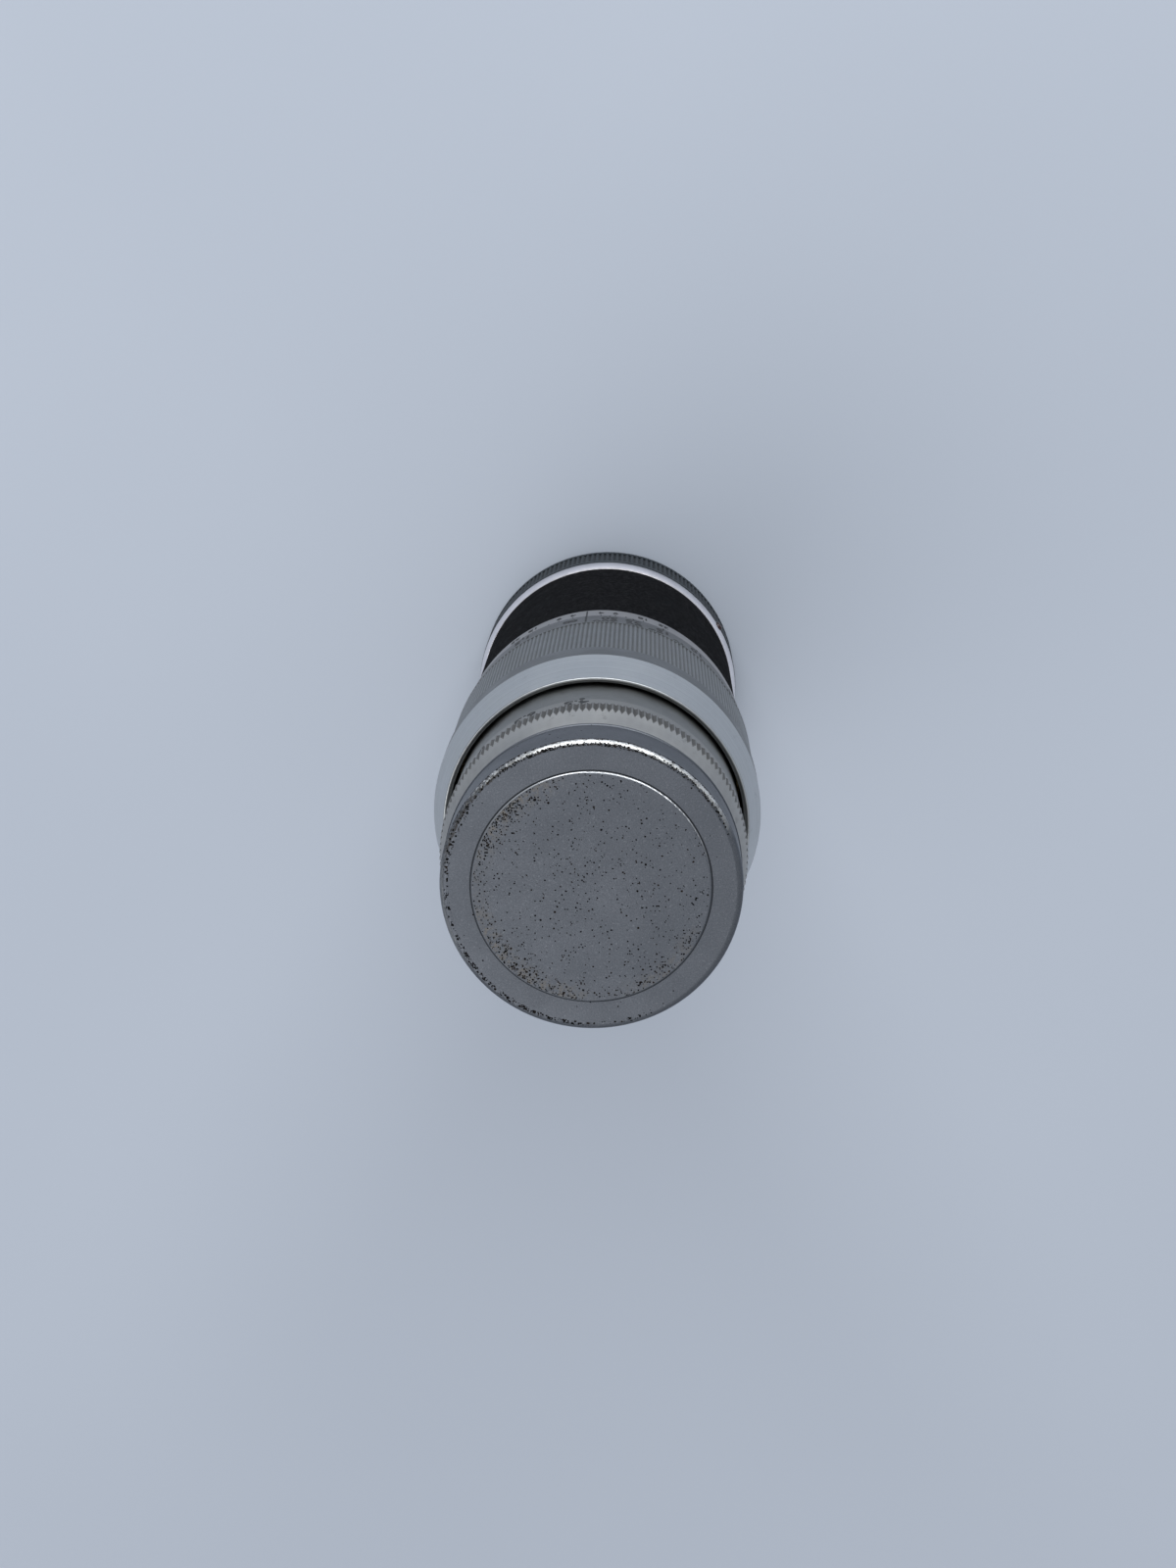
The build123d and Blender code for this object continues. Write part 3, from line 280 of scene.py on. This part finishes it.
def sunk_share(finish, grooves):
    """How far a point lies down in a groove: 0 at its start, 1 at its depth.

    The crest is a cylinder up to cone_base, and falls by slope above it.
    """
    here = finish.band(finish.z, grooves["low"] * mm, grooves["high"] * mm, 0.03 * mm)
    above = finish.most(finish.minus(finish.z, grooves["cone_base"] * mm), 0.0)
    crest = finish.minus(grooves["crest"] * mm, finish.times(above, grooves["slope"]))
    sunk = finish.minus(crest, finish.radius)
    return finish.times(finish.ramp(sunk, grooves["start"] * mm, grooves["depth"] * mm), here)


def cap_finish():
    """Satin cap: finely pitted disc, chipped black at the lower left; painted highlight on the upper side of
    its corner (partly wear) and of the disc's edge, painted shade on the skirt and at the disc's foot.
    """
    finish = Finish("cap_satin_pitted")
    face = top_of("front_cap") - disc_rise
    side = radius_of("front_cap") - cap_lip
    disc = side - cap_rim_width
    grain = finish.noise(5200.0, 2.0, 0.6)
    torn = finish.noise(1500.0, 5.0, 0.75)
    cloud = finish.spread(finish.noise(70.0, 3.0, 0.5))
    tone = finish.blend(cloud, (0.132, 0.140, 0.156), (0.152, 0.160, 0.177))
    tone = finish.blend(finish.times(finish.ramp(grain, 0.42, 0.62), 0.45), tone, (0.088, 0.094, 0.106))
    speckle = finish.times(finish.ramp(finish.noise(2900.0, 3.0, 0.7), 0.56, 0.7), 0.5)
    tone = finish.blend(speckle, tone, (0.24, 0.25, 0.27))

    # The corner's own angle: 0 on the face, a quarter turn on the side
    out = finish.minus(finish.radius, (side - cap_corner) * mm)
    rise = finish.minus(finish.z, (face - cap_corner) * mm)
    turn = finish.math("ARCTAN2", out, rise)
    ragged = finish.times(finish.minus(finish.noise(1500.0, 4.0, 0.7), 0.5), 0.8)
    wavy = finish.times(finish.minus(finish.noise(260.0, 2.0, 0.5), 0.5), 0.5)
    edge = finish.plus(turn, finish.plus(ragged, wavy))

    # Places round the cap
    upper = finish.near_clock(4.0, 56.0, 12.0)
    upper_left = finish.near_clock(-52.0, 26.0, 12.0)
    left = finish.near_clock(-88.0, 34.0, 10.0)
    lower_left = finish.near_clock(-142.0, 30.0, 8.0)
    low = finish.near_clock(178.0, 20.0, 8.0)
    on_disc = finish.ramp(finish.radius, (disc - 0.35) * mm, (disc - 0.25) * mm, 1.0, 0.0)
    near_edge = finish.times(finish.ramp(finish.radius, (disc - 3.6) * mm, (disc - 0.5) * mm), on_disc)

    # The skirt below the corner is painted a little darker: painted shade
    skirt = finish.ramp(turn, radians(84.0), radians(96.0))
    tone = finish.blend(finish.times(skirt, 0.35), tone, (0.07, 0.075, 0.084))

    # Brown fringe along both edges of the worn corner
    fringe = finish.times(finish.ramp(edge, radians(8.0), radians(14.0)),
                          finish.ramp(edge, radians(86.0), radians(94.0), 1.0, 0.0),
                          finish.ramp(finish.noise(1900.0, 4.0, 0.7), 0.44, 0.52),
                          finish.most(upper, upper_left))
    tone = finish.blend(finish.times(fringe, 0.65), tone, (0.045, 0.035, 0.025))

    # Corner painted bright on its upper side: painted highlight, partly worn metal; broken up at the upper
    # left
    broken = finish.times(upper_left, finish.ramp(torn, 0.42, 0.5))
    worn = finish.times(finish.ramp(edge, radians(26.0), radians(32.0)),
                        finish.ramp(edge, radians(66.0), radians(74.0), 1.0, 0.0),
                        finish.minus(1.0, finish.times(broken, 0.85)),
                        finish.ramp(finish.noise(1100.0, 5.0, 0.75), 0.36, 0.54, 0.4, 1.0),
                        finish.most(upper, finish.times(left, 0.2)))
    tone = finish.blend(finish.times(worn, 0.96), tone, (0.88, 0.87, 0.84))

    # Upper edge of the disc painted bright as a painted highlight, and a dark line at its foot as painted
    # shade
    disc_edge_highlight = finish.band(finish.radius, (disc - 0.20) * mm, (disc - 0.04) * mm, 0.03 * mm)
    disc_edge_highlight = finish.times(disc_edge_highlight, finish.near_clock(4.0, 58.0, 26.0))
    tone = finish.blend(finish.times(disc_edge_highlight, 0.6), tone, (0.88, 0.88, 0.88))
    foot = finish.band(finish.radius, (disc - 0.02) * mm, (disc + 0.14) * mm, 0.03 * mm)
    tone = finish.blend(finish.times(foot, 0.85), tone, (0.022, 0.024, 0.027))

    # Brown stain under the dense pits at the disc's edge
    dense = finish.times(near_edge, finish.most(
        finish.near_clock(-46.0, 26.0, 14.0),
        finish.near_clock(-138.0, 36.0, 14.0),
        finish.times(finish.near_clock(138.0, 24.0, 12.0), 0.55),
        finish.times(finish.near_clock(-90.0, 24.0, 12.0), 0.3),
    ))
    stain = finish.times(dense, finish.ramp(finish.noise(1100.0, 5.0, 0.75), 0.42, 0.62))
    tone = finish.blend(finish.times(stain, 0.45), tone, (0.20, 0.165, 0.12))

    # Pits: few on the rim, scattered on the disc, crowded at its edge
    patchy = finish.ramp(finish.noise(300.0, 3.0, 0.6), 0.3, 0.62, 0.3, 1.6)
    crowd = finish.plus(0.004, finish.times(on_disc, patchy, 0.055))
    crowd = finish.plus(crowd, finish.times(dense, patchy, 0.42))
    fine_pits = finish.pits(4100.0, 0.3, 0.64, crowd)
    large_pits = finish.pits(2500.0, 0.24, 0.5, finish.times(crowd, 0.25))

    # Chips: a broken chain along the corner, and both edges of the worn band
    torn_place = finish.torn_place(2600.0, 0.3 * mm)
    chain = finish.band(finish.radius, (side - 1.3) * mm, (side - 0.72) * mm, 0.1 * mm)
    chain = finish.times(chain, finish.most(finish.times(lower_left, 0.82), finish.times(left, 0.4),
                                            finish.times(low, 0.3)))
    inner_edge = finish.band(turn, radians(6.0), radians(40.0), radians(4.0))
    outer_edge = finish.band(turn, radians(62.0), radians(90.0), radians(4.0))
    along_band = finish.times(finish.most(upper, finish.times(upper_left, 0.6)),
                              finish.most(finish.times(inner_edge, 0.7), finish.times(outer_edge, 0.5)))
    chip_crowd = finish.most(chain, along_band)
    large_chips = finish.pits(2300.0, 0.24, 0.6, finish.times(chip_crowd, 0.6), torn_place)
    small_chips = finish.pits(3700.0, 0.34, 0.66, chip_crowd, torn_place)
    holes = finish.most(fine_pits, large_pits, large_chips, small_chips)
    rust = finish.ramp(finish.noise(600.0, 2.0), 0.48, 0.66)
    rust = finish.blend(rust, (0.003, 0.003, 0.003), (0.016, 0.011, 0.008))
    tone = finish.blend(holes, tone, rust)

    rough = finish.ramp(finish.noise(150.0, 4.0), 0.25, 0.75, 0.40, 0.5)
    rough = finish.minus(rough, finish.times(finish.most(worn, disc_edge_highlight), 0.14))
    rough = finish.plus(rough, finish.times(holes, 0.35), True)
    metal = finish.minus(1.0, finish.times(holes, 0.95))
    surface = finish.relief(finish.times(holes, -1.0), 0.5, 0.05 * mm)
    surface = finish.relief(grain, 0.35, scratch, surface)
    surface = finish.relief(finish.lathe(1800.0, 3.0), 0.08, scratch, surface)
    finish.gloss(0.1)
    return finish.set(Base_Color=tone, Metallic=metal, Roughness=rough, Normal=surface)


def vulcanite_finish():
    """Black hard-rubber covering with a fine pebbled grain, slightly polished where it is held."""
    finish = Finish("vulcanite_grain")
    pebble = finish.cells(1150.0).outputs["Distance"]
    crease = finish.noise(1500.0, 5.0, 0.7)
    cloud = finish.noise(160.0, 4.0, 0.65)
    mottle = finish.noise(1250.0, 4.0, 0.7)
    tone = finish.blend(finish.ramp(cloud, 0.35, 0.7), (0.003, 0.003, 0.0035), (0.008, 0.008, 0.0085))
    tone = finish.blend(finish.times(finish.ramp(mottle, 0.48, 0.64), 0.5), tone, (0.02, 0.02, 0.0215))
    tone = finish.blend(finish.times(finish.ramp(crease, 0.5, 0.66), 0.6), tone, (0.026, 0.026, 0.027))
    dust = finish.times(finish.ramp(finish.noise(2600.0, 4.0, 0.8), 0.64, 0.72), 0.3)
    tone = finish.blend(dust, tone, (0.07, 0.07, 0.072))
    surface = finish.relief(pebble, 0.55, 0.09 * mm)
    surface = finish.relief(crease, 0.6, 0.12 * mm, surface)
    finish.gloss(0.004)
    return finish.set(Base_Color=tone, Roughness=finish.spread(cloud, 0.55, 0.75), Normal=surface)


def polished_chrome():
    """Bright plated flange, painted darker behind, next to the rear cap, as painted shade, with hairlines
    from wear.
    """
    finish = Finish("flange_polished_chrome")
    front = base_of("grip_covering")
    cloud = finish.noise(160.0, 4.0, 0.7)
    tone = finish.blend(finish.ramp(cloud, 0.35, 0.65), (0.84, 0.80, 0.81), (0.93, 0.89, 0.90))
    # Painted shade towards the rear cap
    rear_edge_shade = finish.ramp(finish.z, (front - 2.6) * mm, (front - 1.2) * mm, 0.6, 0.0)
    tone = finish.blend(rear_edge_shade, tone, (0.30, 0.29, 0.30))
    rough = finish.spread(finish.noise(900.0, 5.0, 0.7), 0.14, 0.24)
    surface = finish.relief(finish.lathe(5200.0, 3.0), 0.12, hairline)
    return finish.set(Base_Color=tone, Metallic=1.0, Roughness=rough, Normal=surface)


def moulded_black():
    """Ribbed rear cap: dark moulded plastic, dusty and with painted shade in its grooves."""
    finish = Finish("rear_cap_moulded")
    outside = radius_of("rear_cap")
    cloud = finish.noise(120.0, 4.0, 0.65)
    tone = finish.blend(finish.spread(cloud), (0.030, 0.035, 0.041), (0.046, 0.053, 0.060))
    groove = finish.ramp(finish.radius, (outside - 0.25) * mm, (outside - 0.05) * mm, 0.8, 0.0)
    # Painted shade in the grooves between the ribs
    tone = finish.blend(groove, tone, (0.008, 0.009, 0.010))
    dust = finish.times(groove, finish.ramp(finish.noise(420.0, 4.0, 0.7), 0.5, 0.7, 0.0, 0.4))
    tone = finish.blend(dust, tone, (0.10, 0.10, 0.098))
    rough = finish.ramp(cloud, 0.25, 0.75, 0.45, 0.6)
    surface = finish.relief(finish.noise(3400.0, 3.0, 0.6), 0.25, scratch)
    finish.gloss(0.1)
    return finish.set(Base_Color=tone, Roughness=rough, Normal=surface)


def black_anodised():
    """Matt black inside walls, turned."""
    finish = Finish("inner_black_anodised")
    cloud = finish.noise(180.0, 4.0, 0.6)
    tone = finish.blend(finish.spread(cloud), (0.011, 0.011, 0.012), (0.022, 0.022, 0.023))
    surface = finish.relief(finish.lathe(3200.0, 2.0), 0.4, 0.04 * mm)
    return finish.set(Base_Color=tone, Roughness=finish.spread(cloud, 0.45, 0.6), Normal=surface)


def ringed_black():
    """Front ring: gloss black with faint turning, left bare."""
    finish = Finish("name_ring_bare_black")
    cloud = finish.noise(240.0, 4.0, 0.6)
    tone = finish.blend(finish.spread(cloud), (0.010, 0.010, 0.011), (0.018, 0.018, 0.019))
    dust = finish.times(finish.ramp(finish.noise(3600.0, 3.0, 0.7), 0.68, 0.74), 0.4)
    tone = finish.blend(dust, tone, (0.16, 0.16, 0.16))
    surface = finish.relief(finish.lathe(6200.0, 2.0), 0.15, hairline)
    return finish.set(Base_Color=tone, Roughness=finish.spread(cloud, 0.26, 0.38), Normal=surface)


def turned_brass(name, colour):
    """Bare brass with turning marks and a thin film of old grease."""
    finish = Finish(name)
    turned = finish.lathe(4200.0, 3.0)
    film = finish.noise(130.0, 5.0, 0.65)
    dark = shade(colour, 0.62)
    tone = finish.blend(finish.ramp(film, 0.35, 0.7), colour, dark)
    tone = finish.blend(finish.times(finish.ramp(turned, 0.4, 0.65), 0.3), tone, dark)
    rough = finish.spread(film, 0.24, 0.42)
    surface = finish.relief(turned, 0.3, scratch)
    return finish.set(Base_Color=tone, Metallic=1.0, Roughness=rough, Normal=surface)


def small_steel(name, colour, roughness=0.35):
    """Small turned steel pieces: screws and blades."""
    finish = Finish(name)
    scratches = finish.noise(2600.0, 4.0, 0.7, stretch=(1.0, 6.0, 1.0))
    cloud = finish.noise(420.0, 3.0, 0.6)
    tone = finish.blend(finish.ramp(cloud, 0.35, 0.65), colour, shade(colour, 0.6))
    rough = finish.spread(scratches, roughness - 0.08, roughness + 0.1)
    surface = finish.relief(scratches, 0.2, hairline)
    return finish.set(Base_Color=tone, Metallic=1.0, Roughness=rough, Normal=surface)


def lens_glass(name, colour, coating):
    """Clear ground glass with a thin coating and a few specks of dust."""
    finish = Finish(name)
    dust = finish.ramp(finish.noise(2400.0, 4.0, 0.8), 0.68, 0.76)
    haze = finish.spread(finish.noise(300.0, 2.0), 0.0, 0.02)
    finish.shader.inputs["Base Color"].default_value = (*colour, 1.0)
    finish.shader.inputs["Transmission Weight"].default_value = 1.0
    finish.shader.inputs["IOR"].default_value = 1.52
    finish.shader.inputs["Coat Weight"].default_value = 0.6
    finish.shader.inputs["Coat Tint"].default_value = (*coating, 1.0)
    finish.shader.inputs["Coat Roughness"].default_value = 0.02
    return finish.set(Roughness=finish.plus(finish.times(dust, 0.35), haze, True),
                      Normal=finish.relief(dust, 0.1, hairline))


def felt_finish():
    """Dark felt in the cap."""
    finish = Finish("cap_liner_felt")
    fibre = finish.noise(5200.0, 4.0, 0.8, stretch=(1.0, 1.0, 3.0))
    tone = finish.blend(finish.spread(finish.noise(500.0, 3.0)), (0.012, 0.012, 0.016), (0.028, 0.028, 0.034))
    finish.shader.inputs["Sheen Weight"].default_value = 0.4
    return finish.set(Base_Color=tone, Roughness=finish.spread(fibre, 0.82, 0.96),
                      Normal=finish.relief(fibre, 0.8, 0.12 * mm))


def bead_finish():
    """Small glossy bead, so dark a red that it looks black, a little dusty."""
    finish = Finish("mounting_bead_gloss")
    cloud = finish.noise(900.0, 3.0)
    tone = finish.blend(finish.spread(cloud), (0.016, 0.006, 0.006), (0.03, 0.01, 0.01))
    return finish.set(Base_Color=tone, Roughness=finish.spread(cloud, 0.18, 0.32),
                      Normal=finish.relief(cloud, 0.1, scratch))


def engraved_fill():
    """Black paint in the engraved figures, thin in places."""
    finish = Finish("engraving_black_fill")
    worn = finish.noise(2600.0, 4.0, 0.7)
    tone = finish.blend(finish.ramp(worn, 0.6, 0.72), (0.012, 0.012, 0.012), (0.068, 0.068, 0.068))
    return finish.set(Base_Color=tone, Roughness=finish.spread(worn, 0.5, 0.7),
                      Normal=finish.relief(worn, 0.3, hairline))


# Heights along the focusing grip and the aperture ring
grip_base = base_of("focus_grip")
knurl_base = grip_base + grip_spigot
knurl_top = knurl_base + fine_knurl_length
land_top = knurl_top + land_length
collar_top = top_of("focus_grip")
aperture_base = base_of("aperture_ring")
aperture_top = top_of("aperture_ring")
coarse_base = aperture_base + aperture_band
coarse_top = coarse_base + coarse_knurl_length

fine_grooves = {
    "low": knurl_base + 0.5, "high": knurl_top - 0.5, "crest": radius_of("focus_grip") - fine_knurl_sink,
    "cone_base": knurl_top, "slope": 0.0, "start": 0.03, "depth": 0.28, "groove_shade": 0.4,
}
coarse_grooves = {
    "low": coarse_base, "high": aperture_top, "crest": radius_of("aperture_ring"),
    "cone_base": coarse_top, "slope": cone_slope, "start": 0.0, "depth": 0.08, "groove_shade": 0.55,
}
inner_black = black_anodised()
inner_brass = turned_brass("helicoid_turned_brass", (0.55, 0.42, 0.19))
small_screw = small_steel("set_screw_steel", (0.34, 0.34, 0.34))
clear_glass = lens_glass("inner_clear_glass", (0.97, 0.98, 0.97), (0.9, 0.87, 1.0))
blade = small_steel("iris_blued_steel", (0.06, 0.06, 0.066), 0.42)
finishes = {
    "front_cap": cap_finish(),
    "cap_liner": felt_finish(),
    "front_bezel": satin_chrome("bezel_satin_chrome", (0.40, 0.405, 0.41),
                                thread=(filter_thread_radius, filter_thread_pitch)),
    # Aperture ring: its bands painted darker as painted shade, its top edge painted bright as a painted
    # highlight, its groove floors with painted shade
    "aperture_ring": satin_chrome(
        "aperture_satin_chrome", (0.43, 0.42, 0.40), roughness=0.4, marks=0.3, grime=0.3,
        lit_and_shaded_bands=((aperture_base - 0.1, coarse_base, 0.72), (coarse_base, coarse_top - 0.2, 0.58)),
        worn_and_highlit_edges=((aperture_top - 0.1, 0.12, 0.6),), grooves=coarse_grooves,
    ),
    "front_barrel": satin_chrome("front_barrel_satin", (0.24, 0.242, 0.235), roughness=0.4, marks=0.45,
                                 grime=0.35),
    # Focus grip: knurl and land painted darker and bevel painted lighter, as painted light and shade; its
    # edges painted bright as a painted highlight, its groove floors with painted shade
    "focus_grip": satin_chrome(
        "focus_grip_satin", (0.36, 0.37, 0.375), roughness=0.4, marks=0.3, grime=0.2,
        lit_and_shaded_bands=((grip_base, knurl_top, 0.7), (knurl_top, land_top, 0.34), (land_top, collar_top - 0.3, 1.5)),
        worn_and_highlit_edges=((collar_top - 0.03, 0.08, 0.3), (land_top, 0.06, 0.35)), grooves=fine_grooves,
    ),
    "distance_ring": satin_chrome("distance_satin_chrome", (0.16, 0.16, 0.162), roughness=0.42, grime=0.3),
    "depth_ring": satin_chrome("depth_satin_chrome", (0.36, 0.345, 0.34), roughness=0.4, grime=0.3),
    "grip_covering": vulcanite_finish(),
    "bayonet_flange": polished_chrome(),
    "rear_cap": moulded_black(),
    "mounting_bead": bead_finish(),
    "name_ring": ringed_black(),
    "front_lens": lens_glass("front_coated_glass", (0.97, 0.96, 0.98), (0.78, 0.7, 1.0)),
    "rear_barrel": satin_chrome("rear_barrel_satin", (0.45, 0.45, 0.44)),
    "rangefinder_cam": turned_brass("cam_turned_brass", (0.52, 0.40, 0.2)),
    "flange_screws": small_steel("flange_screw_steel", (0.45, 0.45, 0.45), 0.3),
    "guide_key_screws": small_steel("key_screw_steel", (0.38, 0.38, 0.38)),
}
shared_finishes = (
    (inner_brass, ("helicoid_sleeve", "thrust_collar", "guide_key", "iris_cam_ring")),
    (small_screw, ("depth_ring_screws", "distance_ring_screws", "aperture_drive_screw")),
    (clear_glass, ("middle_rear_element", "middle_front_element", "rear_lens")),
)
for shared, names in shared_finishes:
    for name in names:
        finishes[name] = shared
for name, piece in nodes.items():
    otherwise = blade if name.startswith("iris_blade") else inner_black
    for slot in piece.material_slots:
        slot.material = finishes.get(name, otherwise)


# Engraved figures and marks
black_fill = engraved_fill()
figure_depth = 0.03
figure_weight = 0.03
capital_share = 0.72
line_depth = 0.06


def wrapped(piece, radius, clock, height):
    """Bend a flat piece round the axis: x runs round the ring, y along it, z outward, all in millimetres."""
    bm = bmesh.new()
    bm.from_mesh(piece.data)
    bmesh.ops.triangulate(bm, faces=bm.faces[:])
    long_edges = [e for e in bm.edges if e.calc_length() > 0.5]
    bmesh.ops.subdivide_edges(bm, edges=long_edges, cuts=1)
    bmesh.ops.triangulate(bm, faces=bm.faces[:])
    for vert in bm.verts:
        angle = radians(clock) - vert.co.x / radius
        reach = radius + vert.co.z
        vert.co = Vector((reach * sin(angle), reach * cos(angle), height + vert.co.y)) * mm
    bmesh.ops.remove_doubles(bm, verts=bm.verts[:], dist=0.000001)
    bmesh.ops.recalc_face_normals(bm, faces=bm.faces[:])
    bm.to_mesh(piece.data)
    bm.free()


def finish_mark(piece, body):
    """Fill a mark with black and let it ride on its ring's body."""
    piece.data.materials.clear()
    piece.data.materials.append(black_fill)
    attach(piece, body)


def new_piece(name, data):
    """An object of some data, placed in the scene."""
    piece = bpy.data.objects.new(name, data)
    bpy.context.scene.collection.objects.link(piece)
    return piece


def figure(name, words, size, radius, clock, height, body, width=1.0, lying=False):
    """A filled figure, centred on a clock angle, its foot at a height. An 8 on its side marks the far end."""
    curve = bpy.data.curves.new(name, "FONT")
    curve.body = words
    curve.size = size / capital_share
    curve.align_x = "CENTER"
    curve.extrude = figure_depth
    curve.offset = figure_weight * size
    curve.resolution_u = 4
    flat = new_piece(name + "_flat", curve)
    bpy.context.view_layer.update()
    mesh = bpy.data.meshes.new_from_object(flat)
    bpy.data.objects.remove(flat)
    mesh.name = name
    mesh.transform(Matrix.Diagonal((width, 1.0, 1.0, 1.0)))
    if lying:
        mesh.transform(Matrix.Translation((size / 2, size / 3, 0.0)) @ Matrix.Rotation(radians(90), 4, "Z"))
    piece = new_piece(name, mesh)
    wrapped(piece, radius, clock, height)
    finish_mark(piece, body)


def lines(name, marks, radius, body):
    """Engraved lines as one piece: each is (clock, lowest height, highest height, width)."""
    bm = bmesh.new()
    for clock, low, high, width in marks:
        made = bmesh.ops.create_cube(bm, size=1.0)["verts"]
        bmesh.ops.scale(bm, vec=(width, line_depth, high - low), verts=made)
        bmesh.ops.translate(bm, vec=(0.0, radius, (low + high) / 2), verts=made)
        bmesh.ops.rotate(bm, verts=made, matrix=Matrix.Rotation(-radians(clock), 3, "Z"))
    bmesh.ops.scale(bm, vec=(mm, mm, mm), verts=bm.verts[:])
    mesh = bpy.data.meshes.new(name)
    bm.to_mesh(mesh)
    bm.free()
    finish_mark(new_piece(name, mesh), body)


# Aperture figures and their index dot
aperture_size = 2.3
aperture_band_radius = 22.95
aperture_first_clock = -6.6
aperture_step = 20.4
for i, words in enumerate(("4.5", "6.3", "9", "12.5", "18", "25")):
    figure(f"aperture_figure_{i + 1}", words, aperture_size, aperture_band_radius,
           aperture_first_clock - aperture_step * i, aperture_base + 0.45, "aperture_ring")

dot_radius = 0.45
dot_clock = -4.4
barrel_radius = 22.85
dot_bm = bmesh.new()
bmesh.ops.create_cone(dot_bm, cap_ends=True, segments=24, radius1=dot_radius, radius2=dot_radius,
                      depth=line_depth)
dot_mesh = bpy.data.meshes.new("aperture_index_dot")
dot_bm.to_mesh(dot_mesh)
dot_bm.free()
index_dot = new_piece("aperture_index_dot", dot_mesh)
wrapped(index_dot, barrel_radius, dot_clock, top_of("front_barrel") - 0.75)
finish_mark(index_dot, "lens_head")

# Distance figures in metres and feet: the ring turns by the extension that each distance needs
index_clock = -5.6
focal_length = 135.0
focus_lead = 14.4
millimetres_in_a_metre = 1000.0
metres_in_a_foot = 0.3048
distance_size = 2.2
distance_width = 0.95
distance_radius = radius_of("distance_ring")
distance_base = base_of("distance_ring")


def distance_clock(metres):
    """Clock angle of a distance on the ring, with the ring at its far end."""
    extension = focal_length**2 / (metres * millimetres_in_a_metre - focal_length)
    return index_clock + extension / focus_lead * 360.0


distance_lines = [(index_clock, distance_base + 0.1, distance_base + 6.2, 0.34)]
for i, metres in enumerate((50, 25, 15, 10, 7, 6, 5, 4, 3.5, 3, 2.5, 2, 1.75, 1.5)):
    clock = distance_clock(metres)
    distance_lines.append((clock, distance_base + 0.1, distance_base + 1.0, 0.26))
    figure(f"distance_figure_{i + 1}", f"{metres:g}", distance_size, distance_radius, clock,
           distance_base + 1.4, "focus_ring", distance_width)
for i, feet in enumerate((200, 80, 55, 40, 30, 25, 20, 17, 15, 13, 12, 10, 9, 8, 7, 6, 5.5, 5)):
    figure(f"feet_figure_{i + 1}", f"{feet:g}", distance_size, distance_radius,
           distance_clock(feet * metres_in_a_foot), distance_base + 4.2, "focus_ring", distance_width)
lines("distance_lines", distance_lines, distance_radius, "focus_ring")
figure("distance_figure_far", "8", 2.6, distance_radius, index_clock - 6.0, distance_base + 1.9,
       "focus_ring", 1.1, lying=True)

# Depth-of-field marks each side of the index: the figure, where there is one, and its angle
depth_size = 1.7
depth_width = 0.85
depth_radius = radius_of("depth_ring")
depth_top = top_of("depth_ring")
depth_lines = [(index_clock, depth_top - 5.6, depth_top - 0.1, 0.28)]
for stop, shown, away in (("4_5", "4", 5.6), ("9", "9", 11.3), ("12_5", "", 15.5), ("18", "18", 22.5),
                          ("25", "25", 31.0)):
    for side, label in ((-1, "left"), (1, "right")):
        clock = index_clock + side * away
        depth_lines.append((clock, depth_top - 1.7, depth_top - 0.1, 0.2))
        if shown:
            figure(f"depth_figure_{stop}_{label}", shown, depth_size, depth_radius, clock,
                   depth_top - 4.3, "mount_barrel", depth_width)
lines("depth_lines", depth_lines, depth_radius, "mount_barrel")


# Floor, lights and camera
def floor_finish():
    """Pale matt table top."""
    finish = Finish("pale_floor")
    tone = finish.blend(finish.spread(finish.noise(3.0, 3.0)), (0.50, 0.535, 0.60), (0.53, 0.565, 0.63))
    surface = finish.relief(finish.noise(900.0, 3.0), 0.05, 0.05 * mm)
    return finish.set(Base_Color=tone, Roughness=0.75, Normal=surface)


floor_bm = bmesh.new()
bmesh.ops.create_grid(floor_bm, x_segments=1, y_segments=1, size=3.0)
floor_mesh = bpy.data.meshes.new("floor")
floor_bm.to_mesh(floor_mesh)
floor_bm.free()
floor = new_piece("floor", floor_mesh)
floor.data.materials.append(floor_finish())


def soft_lamp(name, place, size, power, colour):
    """A large lamp aimed at the middle of the lens."""
    light = bpy.data.lights.new(name, "AREA")
    light.shape = "RECTANGLE"
    light.size, light.size_y = size
    light.energy = power
    light.color = colour
    lamp = new_piece(name, light)
    lamp.location = place
    lamp.rotation_euler = (Vector((0.0, 0.0, 0.08)) - Vector(place)).to_track_quat("-Z", "Y").to_euler()


soft_lamp("window_lamp", (0.05, 0.95, 0.55), (1.1, 0.7), 9.0, (0.95, 0.98, 1.0))
soft_lamp("front_fill", (-0.35, -0.35, 0.9), (0.7, 0.7), 2.0, (0.97, 0.98, 1.0))

world = bpy.data.worlds.new("soft_room")
world.use_nodes = True
bpy.context.scene.world = world
sky = world.node_tree.nodes["Background"]
sky.inputs["Color"].default_value = (0.86, 0.92, 1.0, 1.0)
sky.inputs["Strength"].default_value = 0.55

camera_place = (0.0082, 0.0975, 0.440)
camera_aim = Vector((-0.0276, -0.2650, -0.9638))
camera_up = Vector((0.0, 0.964, -0.265))
camera_data = bpy.data.cameras.new("camera")
camera_data.sensor_width = 36.0
camera_data.lens = 49.93
camera_data.clip_start = 0.01
camera = new_piece("camera", camera_data)
back = -camera_aim.normalized()
right = camera_up.cross(back).normalized()
camera_axes = Matrix((right, back.cross(right), back)).transposed().to_4x4()
camera.matrix_world = Matrix.Translation(camera_place) @ camera_axes
bpy.context.scene.camera = camera

bpy.context.scene.view_settings.view_transform = "Standard"
